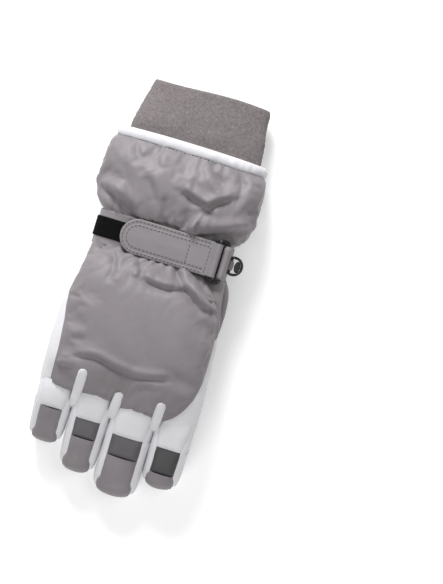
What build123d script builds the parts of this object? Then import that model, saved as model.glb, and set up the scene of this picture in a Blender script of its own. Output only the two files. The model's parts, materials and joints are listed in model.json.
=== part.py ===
from build123d import *
import os
from collections import namedtuple
from math import sin, cos, radians

# Right-hand padded ski glove, lying palm down with its thumb folded flat under the palm.
#
# Frame, in millimetres: +Y runs from the fingertips to the cuff, +X towards the thumb's side of the hand,
# and +Z up, out of the back of the hand. The origin is at the middle of the glove's footprint, on the
# surface that it lies on.
#
# The glove is built in layers, as it is sewn: a nylon shell cut into panels, wadding inside it, and a
# fleece lining around the space for the hand. Where it bends, a rounded root turns in a round seat, so
# that the layers clear each other over the whole travel.

os.makedirs("parts", exist_ok=True)

# ---------------------------------------------------------------- driving dimensions
# A station is one cross-section of the hand or the gauntlet: its place along the glove, the middle of
# the section, and its full width and height.
Station = namedtuple("Station", "y x z width height")

WRIST_WIDTH = 96.0
WRIST_HEIGHT = 30.0
WRIST_X = -1.0
WRIST_Z = 24.0
WRIST_BEND_Y = 50.0

HAND = [
    Station(66.0, WRIST_X, WRIST_Z, WRIST_WIDTH, WRIST_HEIGHT),
    Station(20.0, WRIST_X, WRIST_Z, WRIST_WIDTH, WRIST_HEIGHT),
    Station(6.0, 0.0, 36.0, 106.0, 34.0),
    Station(-30.0, 0.0, 37.0, 113.0, 36.0),
    Station(-60.0, 0.5, 36.0, 114.0, 34.0),
    Station(-77.0, 1.0, 32.0, 114.0, 27.0),
    Station(-83.6, 1.5, 30.5, 114.0, 26.0),
]
GAUNTLET = [
    Station(59.0, 0.0, 22.0, 107.0, 44.0),
    Station(78.0, -1.0, 22.0, 115.0, 44.0),
    Station(99.0, -0.5, 19.0, 112.0, 38.0),
]
BINDING = [
    Station(99.0, -0.5, 19.0, 112.0, 38.0),
    Station(106.5, -0.5, 19.0, 110.0, 37.0),
]
FLEECE_CUFF = [
    Station(68.0, 0.0, 20.0, 92.0, 24.0),
    Station(104.0, 0.0, 18.0, 98.0, 23.0),
    Station(135.0, 1.0, 14.0, 92.0, 20.0),
    Station(146.75, 1.5, 13.0, 85.0, 18.0),
]
CORNER_SHARE = 0.49  # corner radius of a section, as a share of its height

# Layers of the wall, each as its outer and inner depth below the glove's surface.
SHELL = (0.0, 1.3)
WADDING = (1.45, 5.2)
LINING = (5.35, 6.9)
GAUNTLET_WADDING = (1.45, 4.8)
FINGER_SHELL = (0.0, 1.8)
FINGER_LINING = (1.95, 3.9)
CUFF_WALL = 3.0
CUFF_ROUND = 1.3
BINDING_WALL = 5.2
BINDING_ROUND = 2.4
CUT_MARGIN = 2.0  # how far a cutting shape runs past what it cuts

# Fingers: one knuckle axis for all four, and a second bend in each.
KNUCKLE_Y = -88.0
KNUCKLE_Z = 30.0
BEND_GAP = 0.5  # clearance of a rounded root in its seat
WRIST_GAP = 0.6  # the same at the wrist
LIP_SHARE = 0.4  # how far behind the axis a seat's top lip stops, as a share of the root's radius
SIDE_TURN = 5.0  # how far the back and front panels turn down into the sides
# base and tip are lengths measured from the bend axes, the tilts are in degrees down from the segment
# before, and band is how far the dark band on the back reaches past the second bend axis.
Finger = namedtuple("Finger", "name x width height base tip base_tilt tip_tilt band")
FINGERS = [
    Finger("little", -43.0, 25.0, 20.0, 16.0, 22.5, 22.0, 20.0, 0.0),
    Finger("ring", -15.5, 26.0, 22.0, 18.5, 32.4, 17.0, 11.0, 3.5),
    Finger("middle", 15.5, 30.0, 22.0, 23.0, 36.5, 15.0, 9.0, 5.4),
    Finger("index", 45.0, 27.0, 22.0, 22.0, 23.0, 16.0, 15.0, 9.2),
]
TIP_PLAN_RADIUS = 9.0
FINGER_EDGE_RADIUS = 4.0
INNER_EDGE_RADIUS = 0.4  # the least rounding of a lining's inside

# Thumb: flat under the palm, turning about upright axes.
THUMB_X = 36.0
THUMB_Y = -8.0
THUMB_WIDTH = 36.0
THUMB_HEIGHT = 17.5
THUMB_BASE = 33.0
THUMB_TIP = 34.0
THUMB_TURN = -4.0  # degrees from straight along the glove
THUMB_EDGE_RADIUS = 6.0
THUMB_PLAN_RADIUS = 15.0
THUMB_MOUTH_RADIUS = 9.0
THUMB_MOUTH_LOW = 2.5  # the hole up into the palm, as heights
THUMB_MOUTH_HIGH = 27.5

# Palm panels and side strips.
PATCH_BACK_Y = -1.5
PATCH_FRONT_Y = -52.0
PATCH_THUMB_Y = -28.0
PATCH_THUMB_X = 12.0
STRIP_HALF = 5.0
STRIP_BACK_Y = -20.0
GUSSETS = [(-29.5, -67.5), (-1.0, -74.5), (31.0, -73.5)]  # middle across, and far end, of each
GUSSET_WIDTH = 7.0
GUSSET_THICK = 0.9

# Wrist strap, buckle and clip.
STRAP_LOW_Y = 21.0
STRAP_HIGH_Y = 46.0
STRAP_MID_Y = (STRAP_LOW_Y + STRAP_HIGH_Y) / 2
STRAP_LIFT = 0.2
STRAP_THICK = 1.4
TAPE_GAP = 0.15
TAPE_THICK = 0.9
TAPE_WIDTH = 14.4
TAPE_END_X = 2.0
STRAP_END_X = 32.5
TAB_LEFT_X = -32.0
TAB_THICK = 1.8
HOOK_THICK = 0.7
HOOK_LEFT_X = -26.0
HOOK_RIGHT_X = 2.0
HOOK_CLEAR = 0.3
HOOK_WIDTH = 12.4
RING_BAR = 1.3
RING_X = 37.5
ANCHOR_X = 44.2
ANCHOR_Z = 40.0
ANCHOR_RADIUS = 3.0
ANCHOR_TAIL = 1.5  # how far in from its loop's middle the anchor's tail starts
ANCHOR_WEB = 2.4  # thickness of the web from the loop down to the tail
ANCHOR_DROP = 1.6  # how far that web runs below the loop
RING_HALF_LENGTH = 14.6
RING_CORNER = 2.0
LOOP_LENGTH = 24.0
PIN_GAP = 0.1
TAB_LOOP_RADIUS = 2.8
TAB_SHOULDER = 4.0  # how far behind the ring's bar the tab narrows to its loop
CLIP_X = 48.9
CLIP_Z = 30.5
CLIP_BAR = 1.1
CLIP_RADIUS = 7.0
CLIP_REACH = 2.5  # straight part of the clip's sides, before its round end
CLIP_RIM = 1.7
CLIP_THICK = 2.2
CLIP_TONGUE = 1.0
CLIP_GAP = 0.5  # between the clip's tongue and its keeper
CLIP_SLOT = 1.0  # between the clip's tongue and its rim
CLIP_BRIDGE = 2.0  # width of the bridge from tongue to rim
CLIP_TILT = 20.0
KEEPER_RADIUS = 2.3
KEEPER_LENGTH = 7.0
ELASTIC_YS = [31.0, 38.0, 45.0]
ELASTIC_WIDTH = 4.0
ELASTIC_DEPTH = 0.8

HAND_TOP = WRIST_Z + WRIST_HEIGHT / 2
LOOP_TOP = HAND_TOP + STRAP_LIFT + STRAP_THICK + TAPE_GAP + TAPE_THICK
HOOK_Z = LOOP_TOP + HOOK_CLEAR
TAB_Z = HOOK_Z + HOOK_THICK
RING_Z = TAB_Z + TAB_THICK / 2
FAR = 200.0  # longer than anything it cuts
NEAR = 0.01  # closer than this counts as touching

parts = {}


# ---------------------------------------------------------------- shapes that repeat
def block(x0, x1, y0, y1, z0, z1):
    """A box between two corners."""
    middle = ((x0 + x1) / 2, (y0 + y1) / 2, (z0 + z1) / 2)
    return Pos(*middle) * Box(x1 - x0, y1 - y0, z1 - z0)


def across(y, z, radius, length=FAR):
    """A cylinder that runs across the glove, along X."""
    return Pos(0, y, z) * Rot(0, 90, 0) * Cylinder(radius, length)


def along(x, y, z, radius, length):
    """A cylinder that runs along the glove, along Y."""
    return Pos(x, y, z) * Rot(90, 0, 0) * Cylinder(radius, length)


def section_plane(y, x, z):
    return Plane(origin=(x, y, z), x_dir=(1, 0, 0), z_dir=(0, -1, 0))


def tube(stations, depth=0.0, past=0.0):
    """The solid inside a run of stations, a depth below their surface, running past both ends."""
    first, last = stations[0], stations[-1]
    run = list(stations)
    if past:
        step = past if first.y > last.y else -past
        run = [first._replace(y=first.y + step)] + run + [last._replace(y=last.y - step)]
    sections = []
    for s in run:
        outline = RectangleRounded(
            s.width - 2 * depth, s.height - 2 * depth, s.height * CORNER_SHARE - depth
        )
        sections.append(section_plane(s.y, s.x, s.z) * outline)
    return loft(sections, ruled=True)


def layer(stations, depths):
    """One layer of a wall, between two depths, open at both ends."""
    return tube(stations, depths[0]) - tube(stations, depths[1], CUT_MARGIN)


def above_seam(stations, rise=0.0):
    """Everything above the side seam, which runs along the middle of each section."""
    sections = [
        section_plane(s.y, s.x, s.z + rise + FAR / 2) * Rectangle(FAR, FAR) for s in stations
    ]
    return loft(sections, ruled=True)


def keep(name, shape):
    """Stores a sub-part under its node's name."""
    parts[name] = shape


# ---------------------------------------------------------------- hand
def build_hand():
    wrist_end = across(WRIST_BEND_Y, WRIST_Z, WRIST_HEIGHT / 2) + block(
        -FAR, FAR, -FAR, WRIST_BEND_Y, -FAR, FAR
    )
    root = FINGERS[1].height / 2
    seat = across(KNUCKLE_Y, KNUCKLE_Z, root + BEND_GAP) + block(
        -FAR, FAR, -FAR, KNUCKLE_Y + root + BEND_GAP, -FAR, KNUCKLE_Z
    )
    mouth_middle = (THUMB_MOUTH_LOW + THUMB_MOUTH_HIGH) / 2
    mouth_height = THUMB_MOUTH_HIGH - THUMB_MOUTH_LOW
    mouth = Pos(THUMB_X, THUMB_Y, mouth_middle) * Cylinder(THUMB_MOUTH_RADIUS, mouth_height)

    shell, wadding, lining = [
        (layer(HAND, depths) & wrist_end) - seat - mouth for depths in (SHELL, WADDING, LINING)
    ]
    back_half = above_seam(HAND)
    strip = above_seam(HAND, -STRIP_HALF) - above_seam(HAND, STRIP_HALF)
    strip = strip & block(-FAR, FAR, -FAR, STRIP_BACK_Y, -FAR, FAR)
    patch_area = block(-FAR, FAR, PATCH_FRONT_Y, PATCH_THUMB_Y, -FAR, FAR) + block(
        -FAR, PATCH_THUMB_X, PATCH_THUMB_Y, PATCH_BACK_Y, -FAR, FAR
    )
    heel_area = block(-FAR, FAR, PATCH_THUMB_Y, FAR, -FAR, FAR) - patch_area
    panels = shell - strip
    palm = panels - back_half
    keep("back_panel", panels & back_half)
    keep("palm_patch", palm & patch_area)
    keep("palm_heel", palm & heel_area)
    keep("palm_front", palm & block(-FAR, FAR, -FAR, PATCH_FRONT_Y, -FAR, FAR))
    keep("hand_side_strips", shell & strip)

    elastics = []
    for y in ELASTIC_YS:
        low_side = block(
            -FAR, FAR, y - ELASTIC_WIDTH / 2, y + ELASTIC_WIDTH / 2, -FAR, WRIST_Z - STRIP_HALF
        )
        elastics.append(layer(HAND, (WADDING[0], WADDING[0] + ELASTIC_DEPTH)) & low_side)
    wrist_elastics = elastics[0] + elastics[1] + elastics[2]
    keep("wrist_elastics", wrist_elastics)
    keep("hand_wadding", wadding - wrist_elastics)
    keep("hand_lining", lining)


def build_gussets():
    """The three tongue-shaped tops of the strips between the fingers, on the back of the hand."""
    skin = tube(HAND, -GUSSET_THICK - STRAP_LIFT) - tube(HAND, -STRAP_LIFT, CUT_MARGIN)
    skin = skin & block(-FAR, FAR, -FAR, 0, KNUCKLE_Z, FAR)
    front = HAND[-1].y
    tongues = None
    for x, end_y in GUSSETS:
        straight_end = end_y - GUSSET_WIDTH / 2
        straight = block(
            x - GUSSET_WIDTH / 2, x + GUSSET_WIDTH / 2, front, straight_end, KNUCKLE_Z, FAR
        )
        round_end = Pos(x, straight_end, KNUCKLE_Z + FAR / 2) * Cylinder(GUSSET_WIDTH / 2, FAR)
        tongue = skin & (straight + round_end)
        tongues = tongue if tongues is None else tongues + tongue
    keep("crotch_gussets", tongues)


# ---------------------------------------------------------------- gauntlet
def build_gauntlet():
    seat = across(WRIST_BEND_Y, WRIST_Z, WRIST_HEIGHT / 2 + WRIST_GAP)
    shell = layer(GAUNTLET, SHELL) - seat
    back_half = above_seam(GAUNTLET)
    keep("gauntlet_back", shell & back_half)
    keep("gauntlet_palm", shell - back_half)
    keep("gauntlet_wadding", layer(GAUNTLET, GAUNTLET_WADDING) - seat)
    binding = layer(BINDING, (0.0, BINDING_WALL))
    rim = binding.faces().sort_by(Axis.Y)[-1].outer_wire().edges()
    keep("edge_binding", fillet(rim, BINDING_ROUND))
    cuff = layer(FLEECE_CUFF, (0.0, CUFF_WALL))
    lip = cuff.faces().sort_by(Axis.Y)[-1].outer_wire().edges()
    keep("fleece_cuff", fillet(lip, CUFF_ROUND))


# ---------------------------------------------------------------- fingers
def finger_block(finger, depth, back, front, closed):
    """The inside of a finger segment a depth below its surface, from back to front of its bend axis."""
    width = finger.width - 2 * depth
    height = finger.height - 2 * depth
    front = front - depth if closed else front
    body = block(-width / 2, width / 2, -front, back, -height / 2, height / 2)
    if closed:
        plan = body.edges().filter_by(Axis.Z).group_by(Axis.Y)[0]
        body = fillet(plan, TIP_PLAN_RADIUS - depth)
        rim = [e for e in body.edges() if e.center().Y < back - NEAR and not is_upright(e)]
        rim = [e for e in rim if abs(abs(e.center().Z) - height / 2) < NEAR]
    else:
        rim = body.edges().filter_by(Axis.Y)
    return fillet(rim, max(FINGER_EDGE_RADIUS - depth, INNER_EDGE_RADIUS))


def is_upright(edge):
    box = edge.bounding_box()
    return box.size.Z > NEAR


def root_mask(finger, front):
    """A round root about the bend axis, and everything in front of it."""
    return across(0, 0, finger.height / 2) + block(-FAR, FAR, -front - CUT_MARGIN, 0, -FAR, FAR)


def seat_cut(finger, distance):
    """The round seat for the next segment's root, cut away below for the bend."""
    radius = finger.height / 2 + BEND_GAP
    return across(-distance, 0, radius) + block(-FAR, FAR, -FAR, -distance + radius, -FAR, 0)


def split_by_height(shell, finger):
    """Back panel, side walls and front panel of a shell."""
    turn = finger.height / 2 - SIDE_TURN
    back = shell & block(-FAR, FAR, -FAR, FAR, turn, FAR)
    front = shell & block(-FAR, FAR, -FAR, FAR, -FAR, -turn)
    sides = shell & block(-FAR, FAR, -FAR, FAR, -turn, turn)
    return back, sides, front


def knuckle_place(finger):
    return Pos(finger.x, KNUCKLE_Y, KNUCKLE_Z) * Rot(finger.base_tilt, 0, 0)


def middle_place(finger):
    return knuckle_place(finger) * Pos(0, -finger.base, 0) * Rot(finger.tip_tilt, 0, 0)


def build_finger_base(finger):
    root = finger.height / 2
    length = finger.base - root * LIP_SHARE
    mask = root_mask(finger, length)
    seat = seat_cut(finger, finger.base)
    layers = []
    for outer, inner in (FINGER_SHELL, FINGER_LINING):
        solid = finger_block(finger, outer, root, length, False)
        hollow = finger_block(finger, inner, root + CUT_MARGIN, length + CUT_MARGIN, False)
        layers.append(((solid - hollow) & mask) - seat)
    back, sides, front = split_by_height(layers[0], finger)
    place = knuckle_place(finger)
    keep(finger.name + "_knuckle_panel", place * back)
    keep(finger.name + "_base_sides", place * sides)
    keep(finger.name + "_base_front", place * front)
    keep(finger.name + "_base_lining", place * layers[1])


def build_finger_tip(finger):
    root = finger.height / 2
    mask = root_mask(finger, finger.tip)
    layers = []
    for outer, inner in (FINGER_SHELL, FINGER_LINING):
        solid = finger_block(finger, outer, root, finger.tip, True)
        hollow = finger_block(finger, inner, root + CUT_MARGIN, finger.tip, True)
        layers.append((solid - hollow) & mask)
    back, sides, front = split_by_height(layers[0], finger)
    place = middle_place(finger)
    if finger.band:
        band_area = block(-FAR, FAR, -finger.band, FAR, -FAR, FAR)
        keep(finger.name + "_band", place * (back & band_area))
        back = back - band_area
    keep(finger.name + "_cap", place * back)
    keep(finger.name + "_tip_sides", place * sides)
    keep(finger.name + "_tip_front", place * front)
    keep(finger.name + "_tip_lining", place * layers[1])


# ---------------------------------------------------------------- thumb
def upright(y, radius):
    """An upright cylinder through the thumb, in line with its middle."""
    return Pos(0, y, THUMB_HEIGHT / 2) * Cylinder(radius, FAR)


def thumb_plan(y, radius):
    """A round root about an upright axis, and everything in front of it."""
    return upright(y, radius) + block(-FAR, FAR, -FAR, y, -FAR, FAR)


def thumb_root(depth, front):
    """The thumb's base a depth below its surface, rounded over its back and sides."""
    half = THUMB_WIDTH / 2 - depth
    body = block(-half, half, -front, half, depth, THUMB_HEIGHT - depth) & thumb_plan(0, half)
    rims = [e for e in body.edges() if not is_upright(e) and e.center().Y > NEAR - front]
    return fillet(rims, THUMB_EDGE_RADIUS - depth)


def thumb_end(depth, back):
    """The thumb's tip a depth below its surface, rounded over its end and sides."""
    half = THUMB_WIDTH / 2 - depth
    body = block(-half, half, depth - THUMB_TIP, back, depth, THUMB_HEIGHT - depth)
    corners = body.edges().filter_by(Axis.Z).group_by(Axis.Y)[0]
    body = fillet(corners, THUMB_PLAN_RADIUS - depth)
    rims = [e for e in body.edges() if not is_upright(e) and e.center().Y < back - NEAR]
    return fillet(rims, THUMB_EDGE_RADIUS - depth)


def build_thumb():
    radius = THUMB_WIDTH / 2
    place = Pos(THUMB_X, THUMB_Y, 0) * Rot(0, 0, THUMB_TURN)

    # The base is closed round its root, with a mouth up into the palm.
    length = THUMB_BASE - radius * LIP_SHARE
    mouth = upright(0, THUMB_MOUTH_RADIUS) & block(-FAR, FAR, -FAR, FAR, THUMB_HEIGHT / 2, FAR)
    seat_reach = radius + BEND_GAP
    seat = upright(-THUMB_BASE, seat_reach) + block(-FAR, 0, -FAR, seat_reach - THUMB_BASE, -FAR, FAR)
    cuts = seat + mouth + block(-FAR, FAR, -FAR, -length, -FAR, FAR)
    names = ("thumb_base_shell", "thumb_base_lining")
    for name, (outer, inner) in zip(names, (FINGER_SHELL, FINGER_LINING)):
        walls = thumb_root(outer, length + CUT_MARGIN) - thumb_root(inner, length + 2 * CUT_MARGIN)
        keep(name, place * (walls - cuts))

    # The tip is a sleeve that is open at its round root.
    place = place * Pos(0, -THUMB_BASE, 0)
    names = ("thumb_tip_shell", "thumb_tip_lining")
    for name, (outer, inner) in zip(names, (FINGER_SHELL, FINGER_LINING)):
        walls = thumb_end(outer, radius) - thumb_end(inner, radius + CUT_MARGIN)
        keep(name, place * (walls & thumb_plan(0, radius)))


# ---------------------------------------------------------------- strap, buckle and clip
def strap_layer(lift, thick):
    """A band around the wrist, a lift above its surface."""
    wrist = HAND[:2]
    return tube(wrist, -lift - thick) - tube(wrist, -lift, CUT_MARGIN)


def build_strap():
    lower = strap_layer(STRAP_LIFT, STRAP_THICK)
    keep("strap_lower", lower & block(-FAR, STRAP_END_X, STRAP_LOW_Y, STRAP_HIGH_Y, WRIST_Z, FAR))
    tape = strap_layer(STRAP_LIFT + STRAP_THICK + TAPE_GAP, TAPE_THICK)
    tape_area = block(
        -FAR,
        TAPE_END_X,
        STRAP_MID_Y - TAPE_WIDTH / 2,
        STRAP_MID_Y + TAPE_WIDTH / 2,
        WRIST_Z + STRIP_HALF,
        FAR,
    )
    keep("loop_tape", tape & tape_area)

    # Tab: a round-ended strap that folds around the buckle's near bar.
    half = (STRAP_HIGH_Y - STRAP_LOW_Y) / 2
    plate = block(TAB_LEFT_X + half, RING_X, STRAP_LOW_Y, STRAP_HIGH_Y, TAB_Z, TAB_Z + TAB_THICK)
    nose = Pos(TAB_LEFT_X + half, STRAP_MID_Y, TAB_Z + TAB_THICK / 2) * Cylinder(half, TAB_THICK)
    tab = plate + nose
    corner = block(RING_X - TAB_SHOULDER, FAR, STRAP_MID_Y + LOOP_LENGTH / 2, FAR, -FAR, FAR)
    tab = tab - corner - mirror(corner, Plane.XZ.offset(-STRAP_MID_Y))
    tab = tab + along(RING_X, STRAP_MID_Y, RING_Z, TAB_LOOP_RADIUS, LOOP_LENGTH)
    tab = tab - along(RING_X, STRAP_MID_Y, RING_Z, RING_BAR + PIN_GAP, FAR)
    keep("strap_tab", tab)
    hook = block(
        HOOK_LEFT_X,
        HOOK_RIGHT_X,
        STRAP_MID_Y - HOOK_WIDTH / 2,
        STRAP_MID_Y + HOOK_WIDTH / 2,
        HOOK_Z,
        HOOK_Z + HOOK_THICK,
    )
    keep("hook_tape", hook)


def build_buckle():
    reach = ((ANCHOR_X - RING_X) ** 2 + (ANCHOR_Z - RING_Z) ** 2) ** 0.5
    plane = Plane(
        origin=((RING_X + ANCHOR_X) / 2, STRAP_MID_Y, (RING_Z + ANCHOR_Z) / 2),
        x_dir=(ANCHOR_X - RING_X, 0, ANCHOR_Z - RING_Z),
        z_dir=(RING_Z - ANCHOR_Z, 0, ANCHOR_X - RING_X),
    )
    outline = plane * RectangleRounded(reach, 2 * RING_HALF_LENGTH, RING_CORNER)
    path = outline.face().outer_wire()
    start = Plane(origin=path @ 0, z_dir=path % 0)
    keep("buckle_ring", sweep(start * Circle(RING_BAR), path=path))

    loop = along(ANCHOR_X, STRAP_MID_Y, ANCHOR_Z, ANCHOR_RADIUS, LOOP_LENGTH)
    tail = strap_layer(STRAP_LIFT, STRAP_THICK) & block(
        ANCHOR_X - ANCHOR_TAIL,
        FAR,
        STRAP_MID_Y - LOOP_LENGTH / 2,
        STRAP_MID_Y + LOOP_LENGTH / 2,
        WRIST_Z - STRIP_HALF,
        ANCHOR_Z,
    )
    web = block(
        ANCHOR_X - ANCHOR_WEB / 2,
        ANCHOR_X + ANCHOR_WEB / 2,
        STRAP_MID_Y - LOOP_LENGTH / 2,
        STRAP_MID_Y + LOOP_LENGTH / 2,
        ANCHOR_Z - ANCHOR_RADIUS - ANCHOR_DROP,
        ANCHOR_Z,
    )
    keeper = along(CLIP_X, STRAP_MID_Y, CLIP_Z, KEEPER_RADIUS, KEEPER_LENGTH)
    anchor = loop + tail + web + keeper
    anchor = anchor - along(ANCHOR_X, STRAP_MID_Y, ANCHOR_Z, RING_BAR + PIN_GAP, FAR)
    anchor = anchor - along(CLIP_X, STRAP_MID_Y, CLIP_Z, CLIP_BAR + PIN_GAP, FAR)
    keep("anchor_loop", anchor)


def d_shape(radius, thick, start):
    """A plate with a round end on the +X side, its flat end a start away from the middle."""
    disc = Pos(CLIP_REACH, 0, 0) * Cylinder(radius, thick)
    sides = block(0, CLIP_REACH, -radius, radius, -thick / 2, thick / 2)
    return (disc + sides) & block(start, FAR, -FAR, FAR, -FAR, FAR)


def build_clip():
    """A D-shaped plastic clip: a rim on a round bar, with a thinner tongue inside it."""
    inside = KEEPER_RADIUS + CLIP_GAP
    rim = d_shape(CLIP_RADIUS, CLIP_THICK, 0) - d_shape(CLIP_RADIUS - CLIP_RIM, FAR, 0)
    bar = along(0, 0, 0, CLIP_BAR, 2 * CLIP_RADIUS)
    tongue = d_shape(CLIP_RADIUS - CLIP_RIM - CLIP_SLOT, CLIP_TONGUE, inside)
    bridge_end = CLIP_REACH + CLIP_RADIUS - CLIP_RIM / 2
    bridge = block(
        inside, bridge_end, -CLIP_BRIDGE / 2, CLIP_BRIDGE / 2, -CLIP_TONGUE / 2, CLIP_TONGUE / 2
    )
    clip = rim + bar + tongue + bridge
    keep("pair_clip", Pos(CLIP_X, STRAP_MID_Y, CLIP_Z) * Rot(0, CLIP_TILT, 0) * clip)


# ---------------------------------------------------------------- all of it
def build():
    build_hand()
    build_gussets()
    build_gauntlet()
    for finger in FINGERS:
        build_finger_base(finger)
        build_finger_tip(finger)
    build_thumb()
    build_strap()
    build_buckle()
    build_clip()
    for name, shape in parts.items():
        export_step(shape, f"parts/{name}.step")


build()
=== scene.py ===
import json
from math import acos, cos, pi, radians, sin

import bpy
import numpy as np
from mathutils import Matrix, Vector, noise


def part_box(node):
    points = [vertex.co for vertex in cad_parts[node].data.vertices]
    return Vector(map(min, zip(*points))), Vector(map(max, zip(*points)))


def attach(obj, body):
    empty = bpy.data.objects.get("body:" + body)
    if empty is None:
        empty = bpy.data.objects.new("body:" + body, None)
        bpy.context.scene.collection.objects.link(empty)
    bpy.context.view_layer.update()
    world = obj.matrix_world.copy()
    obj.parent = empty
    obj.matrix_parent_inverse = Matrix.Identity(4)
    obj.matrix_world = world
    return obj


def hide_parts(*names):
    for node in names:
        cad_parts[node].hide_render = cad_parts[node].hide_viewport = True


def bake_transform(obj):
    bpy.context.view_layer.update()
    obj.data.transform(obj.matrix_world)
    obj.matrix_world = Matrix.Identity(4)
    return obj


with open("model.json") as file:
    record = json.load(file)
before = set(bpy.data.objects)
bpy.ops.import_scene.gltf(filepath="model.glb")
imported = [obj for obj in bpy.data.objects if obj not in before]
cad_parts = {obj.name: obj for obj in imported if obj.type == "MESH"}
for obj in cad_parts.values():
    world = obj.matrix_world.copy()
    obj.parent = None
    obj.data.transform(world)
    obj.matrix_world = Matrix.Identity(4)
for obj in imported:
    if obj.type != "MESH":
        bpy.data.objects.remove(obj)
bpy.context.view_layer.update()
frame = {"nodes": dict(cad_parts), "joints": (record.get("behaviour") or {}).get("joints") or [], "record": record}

# A right-hand ski glove, lying back up with its thumb folded under the palm. Sizes are in millimetres, in
# the frame of the CAD model: +Y towards the cuff, +X towards the thumb, +Z out of the back of the hand.
MM = 0.001

# ---------------------------------------------------------------- shape of the glove
# Stations along the hand, wrist and gauntlet: place, middle x and z, half width, half height, squareness.
SECTIONS = [
    (-90.0, 1.5, 29.6, 56.5, 11.6, 3.2),
    (-84.0, 1.5, 30.6, 56.8, 12.6, 3.2),
    (-77.0, 1.0, 32.2, 57.2, 14.2, 3.1),
    (-60.0, 0.5, 35.9, 57.2, 17.2, 2.8),
    (-30.0, 0.0, 37.2, 56.2, 18.3, 2.6),
    (-8.0, 0.2, 36.4, 53.3, 17.6, 2.6),
    (6.0, -0.6, 33.2, 50.6, 16.9, 2.6),
    (19.0, -0.6, 24.8, 49.0, 15.6, 2.9),
    (22.0, -1.0, 24.0, 48.0, 14.9, 3.1),
    (46.0, -1.0, 24.0, 48.0, 14.9, 3.1),
    (49.0, -1.0, 23.2, 51.0, 18.0, 3.0),
    (55.0, -1.0, 22.2, 55.5, 21.2, 2.8),
    (66.0, -1.0, 22.2, 57.8, 22.4, 2.7),
    (82.0, -1.0, 22.0, 58.2, 22.4, 2.7),
    (93.0, -0.8, 20.6, 57.2, 20.8, 2.8),
    (99.5, -0.5, 19.2, 55.6, 18.4, 3.0),
]
STRAP_LOW, STRAP_HIGH = 20.8, 46.2
STRAP_MIDDLE = (STRAP_LOW + STRAP_HIGH) / 2
GAUNTLET_START, GAUNTLET_END = 44.5, 99.5
HAND_BACK_END = 23.5
PALM_JOIN = 21.0
PATCH_BACK, PATCH_FRONT = -1.5, -52.0
KNUCKLE_SEAM = [(-57, -83.5), (-30, -83.5), (-28, -82.5), (-3, -82.5), (0, -85.5), (60, -85.5)]
# Seams on the back, as places along the glove and how far across they lie, as a share of the half width.
LEFT_SEAM = [(-90, -0.885), (-60, -0.885), (-38, -0.92), (-16, -1.0), (99.5, -1.0)]
RIGHT_SEAM = [
    (-90, 0.56), (-85.5, 0.60), (-80, 0.72), (-72, 0.83), (-62, 0.91), (-50, 0.955), (-20, 0.985),
    (-4, 0.99), (6, 0.93), (14, 0.82), (22, 0.72), (40, 0.72),
]
PALM_SEAM_SHARE = 0.93  # where the palm panels end, as a share of the half width
STRIP_START = -16.0
SLITS = [-28.9, -0.6, 30.6]  # middles of the gaps between fingers
TONGUES = [(-27.6, -65.5), (1.0, -74.0), (31.2, -72.5)]  # where each white tongue between them starts

FOLD_DEPTH = 1.75  # share of each fold's stated depth
SEAM_DIP = 0.9
SEAM_WIDTH = 1.6
CROWN = 1.3
CROWN_REACH = 9.0
SPACING = 1.15  # distance between mesh points
FOLD_LIMIT = 2.4  # how deep folds go before the wadding holds them back
GATHER_PITCH = 9.5
GATHER_REACH = 11.0
CLOTH_STEP = 2.2  # mesh points to each point of the simulated cloth
CLOTH_FRAMES = 18
CLOTH_BENDING = 0.5
CLOTH_REACH = 4.0  # the most that cloth may move
SEAM_HOLD = 5.0  # how far from a lengthwise seam folds reach their full depth
FLOOR_GAP = 0.15

# ---------------------------------------------------------------- fingers
# Name, middle x, half width at the knuckle and at the tip, half height, where the white and the dark band
# end on the back, length and downward tilt of the tip.
FINGERS = [
    ("little", -42.8, 13.1, 12.2, 10.2, -99.5, None, 26.0, 42.0),
    ("ring", -15.3, 13.9, 13.0, 11.0, -100.5, -114.0, 36.0, 28.0),
    ("middle", 15.0, 16.0, 15.8, 11.1, -104.5, -119.5, 40.0, 24.0),
    ("index", 45.1, 13.9, 13.2, 11.0, -104.0, -122.5, 26.0, 31.0),
]
FINGER_START = -79.0
FINGER_SINK = 2.1  # how far below the hand's back a finger starts
FINGER_SQUARE = 3.5
SEAM_START = 5.0
STRIP_AT_KNUCKLE = 1.4  # width of the white strip seen beside a finger's back, at the knuckle
STRIP_VISIBLE = 4.4  # the same from the white panel's end on
FRONT_STRIP = 5.5
TIP_REACH = 12.0  # length of the round end
TIP_SQUARE = 2.35
TIP_ROUNDNESS = 2.3
TURN_LENGTH = 17.0  # how far before the tip the strip starts to turn under
CAP_TURN = radians(-10)  # how far round the tip the cap and the strip reach, in angles up from the side
STRIP_TURN = radians(-50)

# ---------------------------------------------------------------- folds, as points, depth, width, ridge side
GAUNTLET_FOLDS = [
    ([(22, 66), (11, 69), (1, 72.5)], 2.6, 2.4, -1),
    ([(22, 66), (28, 72), (37, 78)], 2.4, 2.4, 1),
    ([(20, 66), (13, 57), (8, 48)], 3.2, 3.2, 1),
    ([(23, 66), (20, 57), (18, 48)], 2.4, 2.6, -1),
    ([(-56, 60), (-42, 54.5), (-28, 48)], 2.8, 3.4, 1),
    ([(22, 47), (37, 52), (55, 60)], 3.0, 3.2, 1),
    ([(-26, 76), (-20, 69), (-15, 60)], 1.4, 3.2, 1),
    ([(-20, 98), (-23, 91), (-20, 84)], 1.7, 2.4, 1),
    ([(15, 98), (20, 91), (30, 83)], 2.2, 2.6, -1),
    ([(-40, 97), (-36, 88)], 1.1, 2.4, 1),
    ([(38, 97), (42, 86), (40, 74)], 1.3, 3.0, 1),
    ([(-44, 80), (-36, 66), (-30, 50)], 1.0, 3.4, -1),
]
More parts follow.
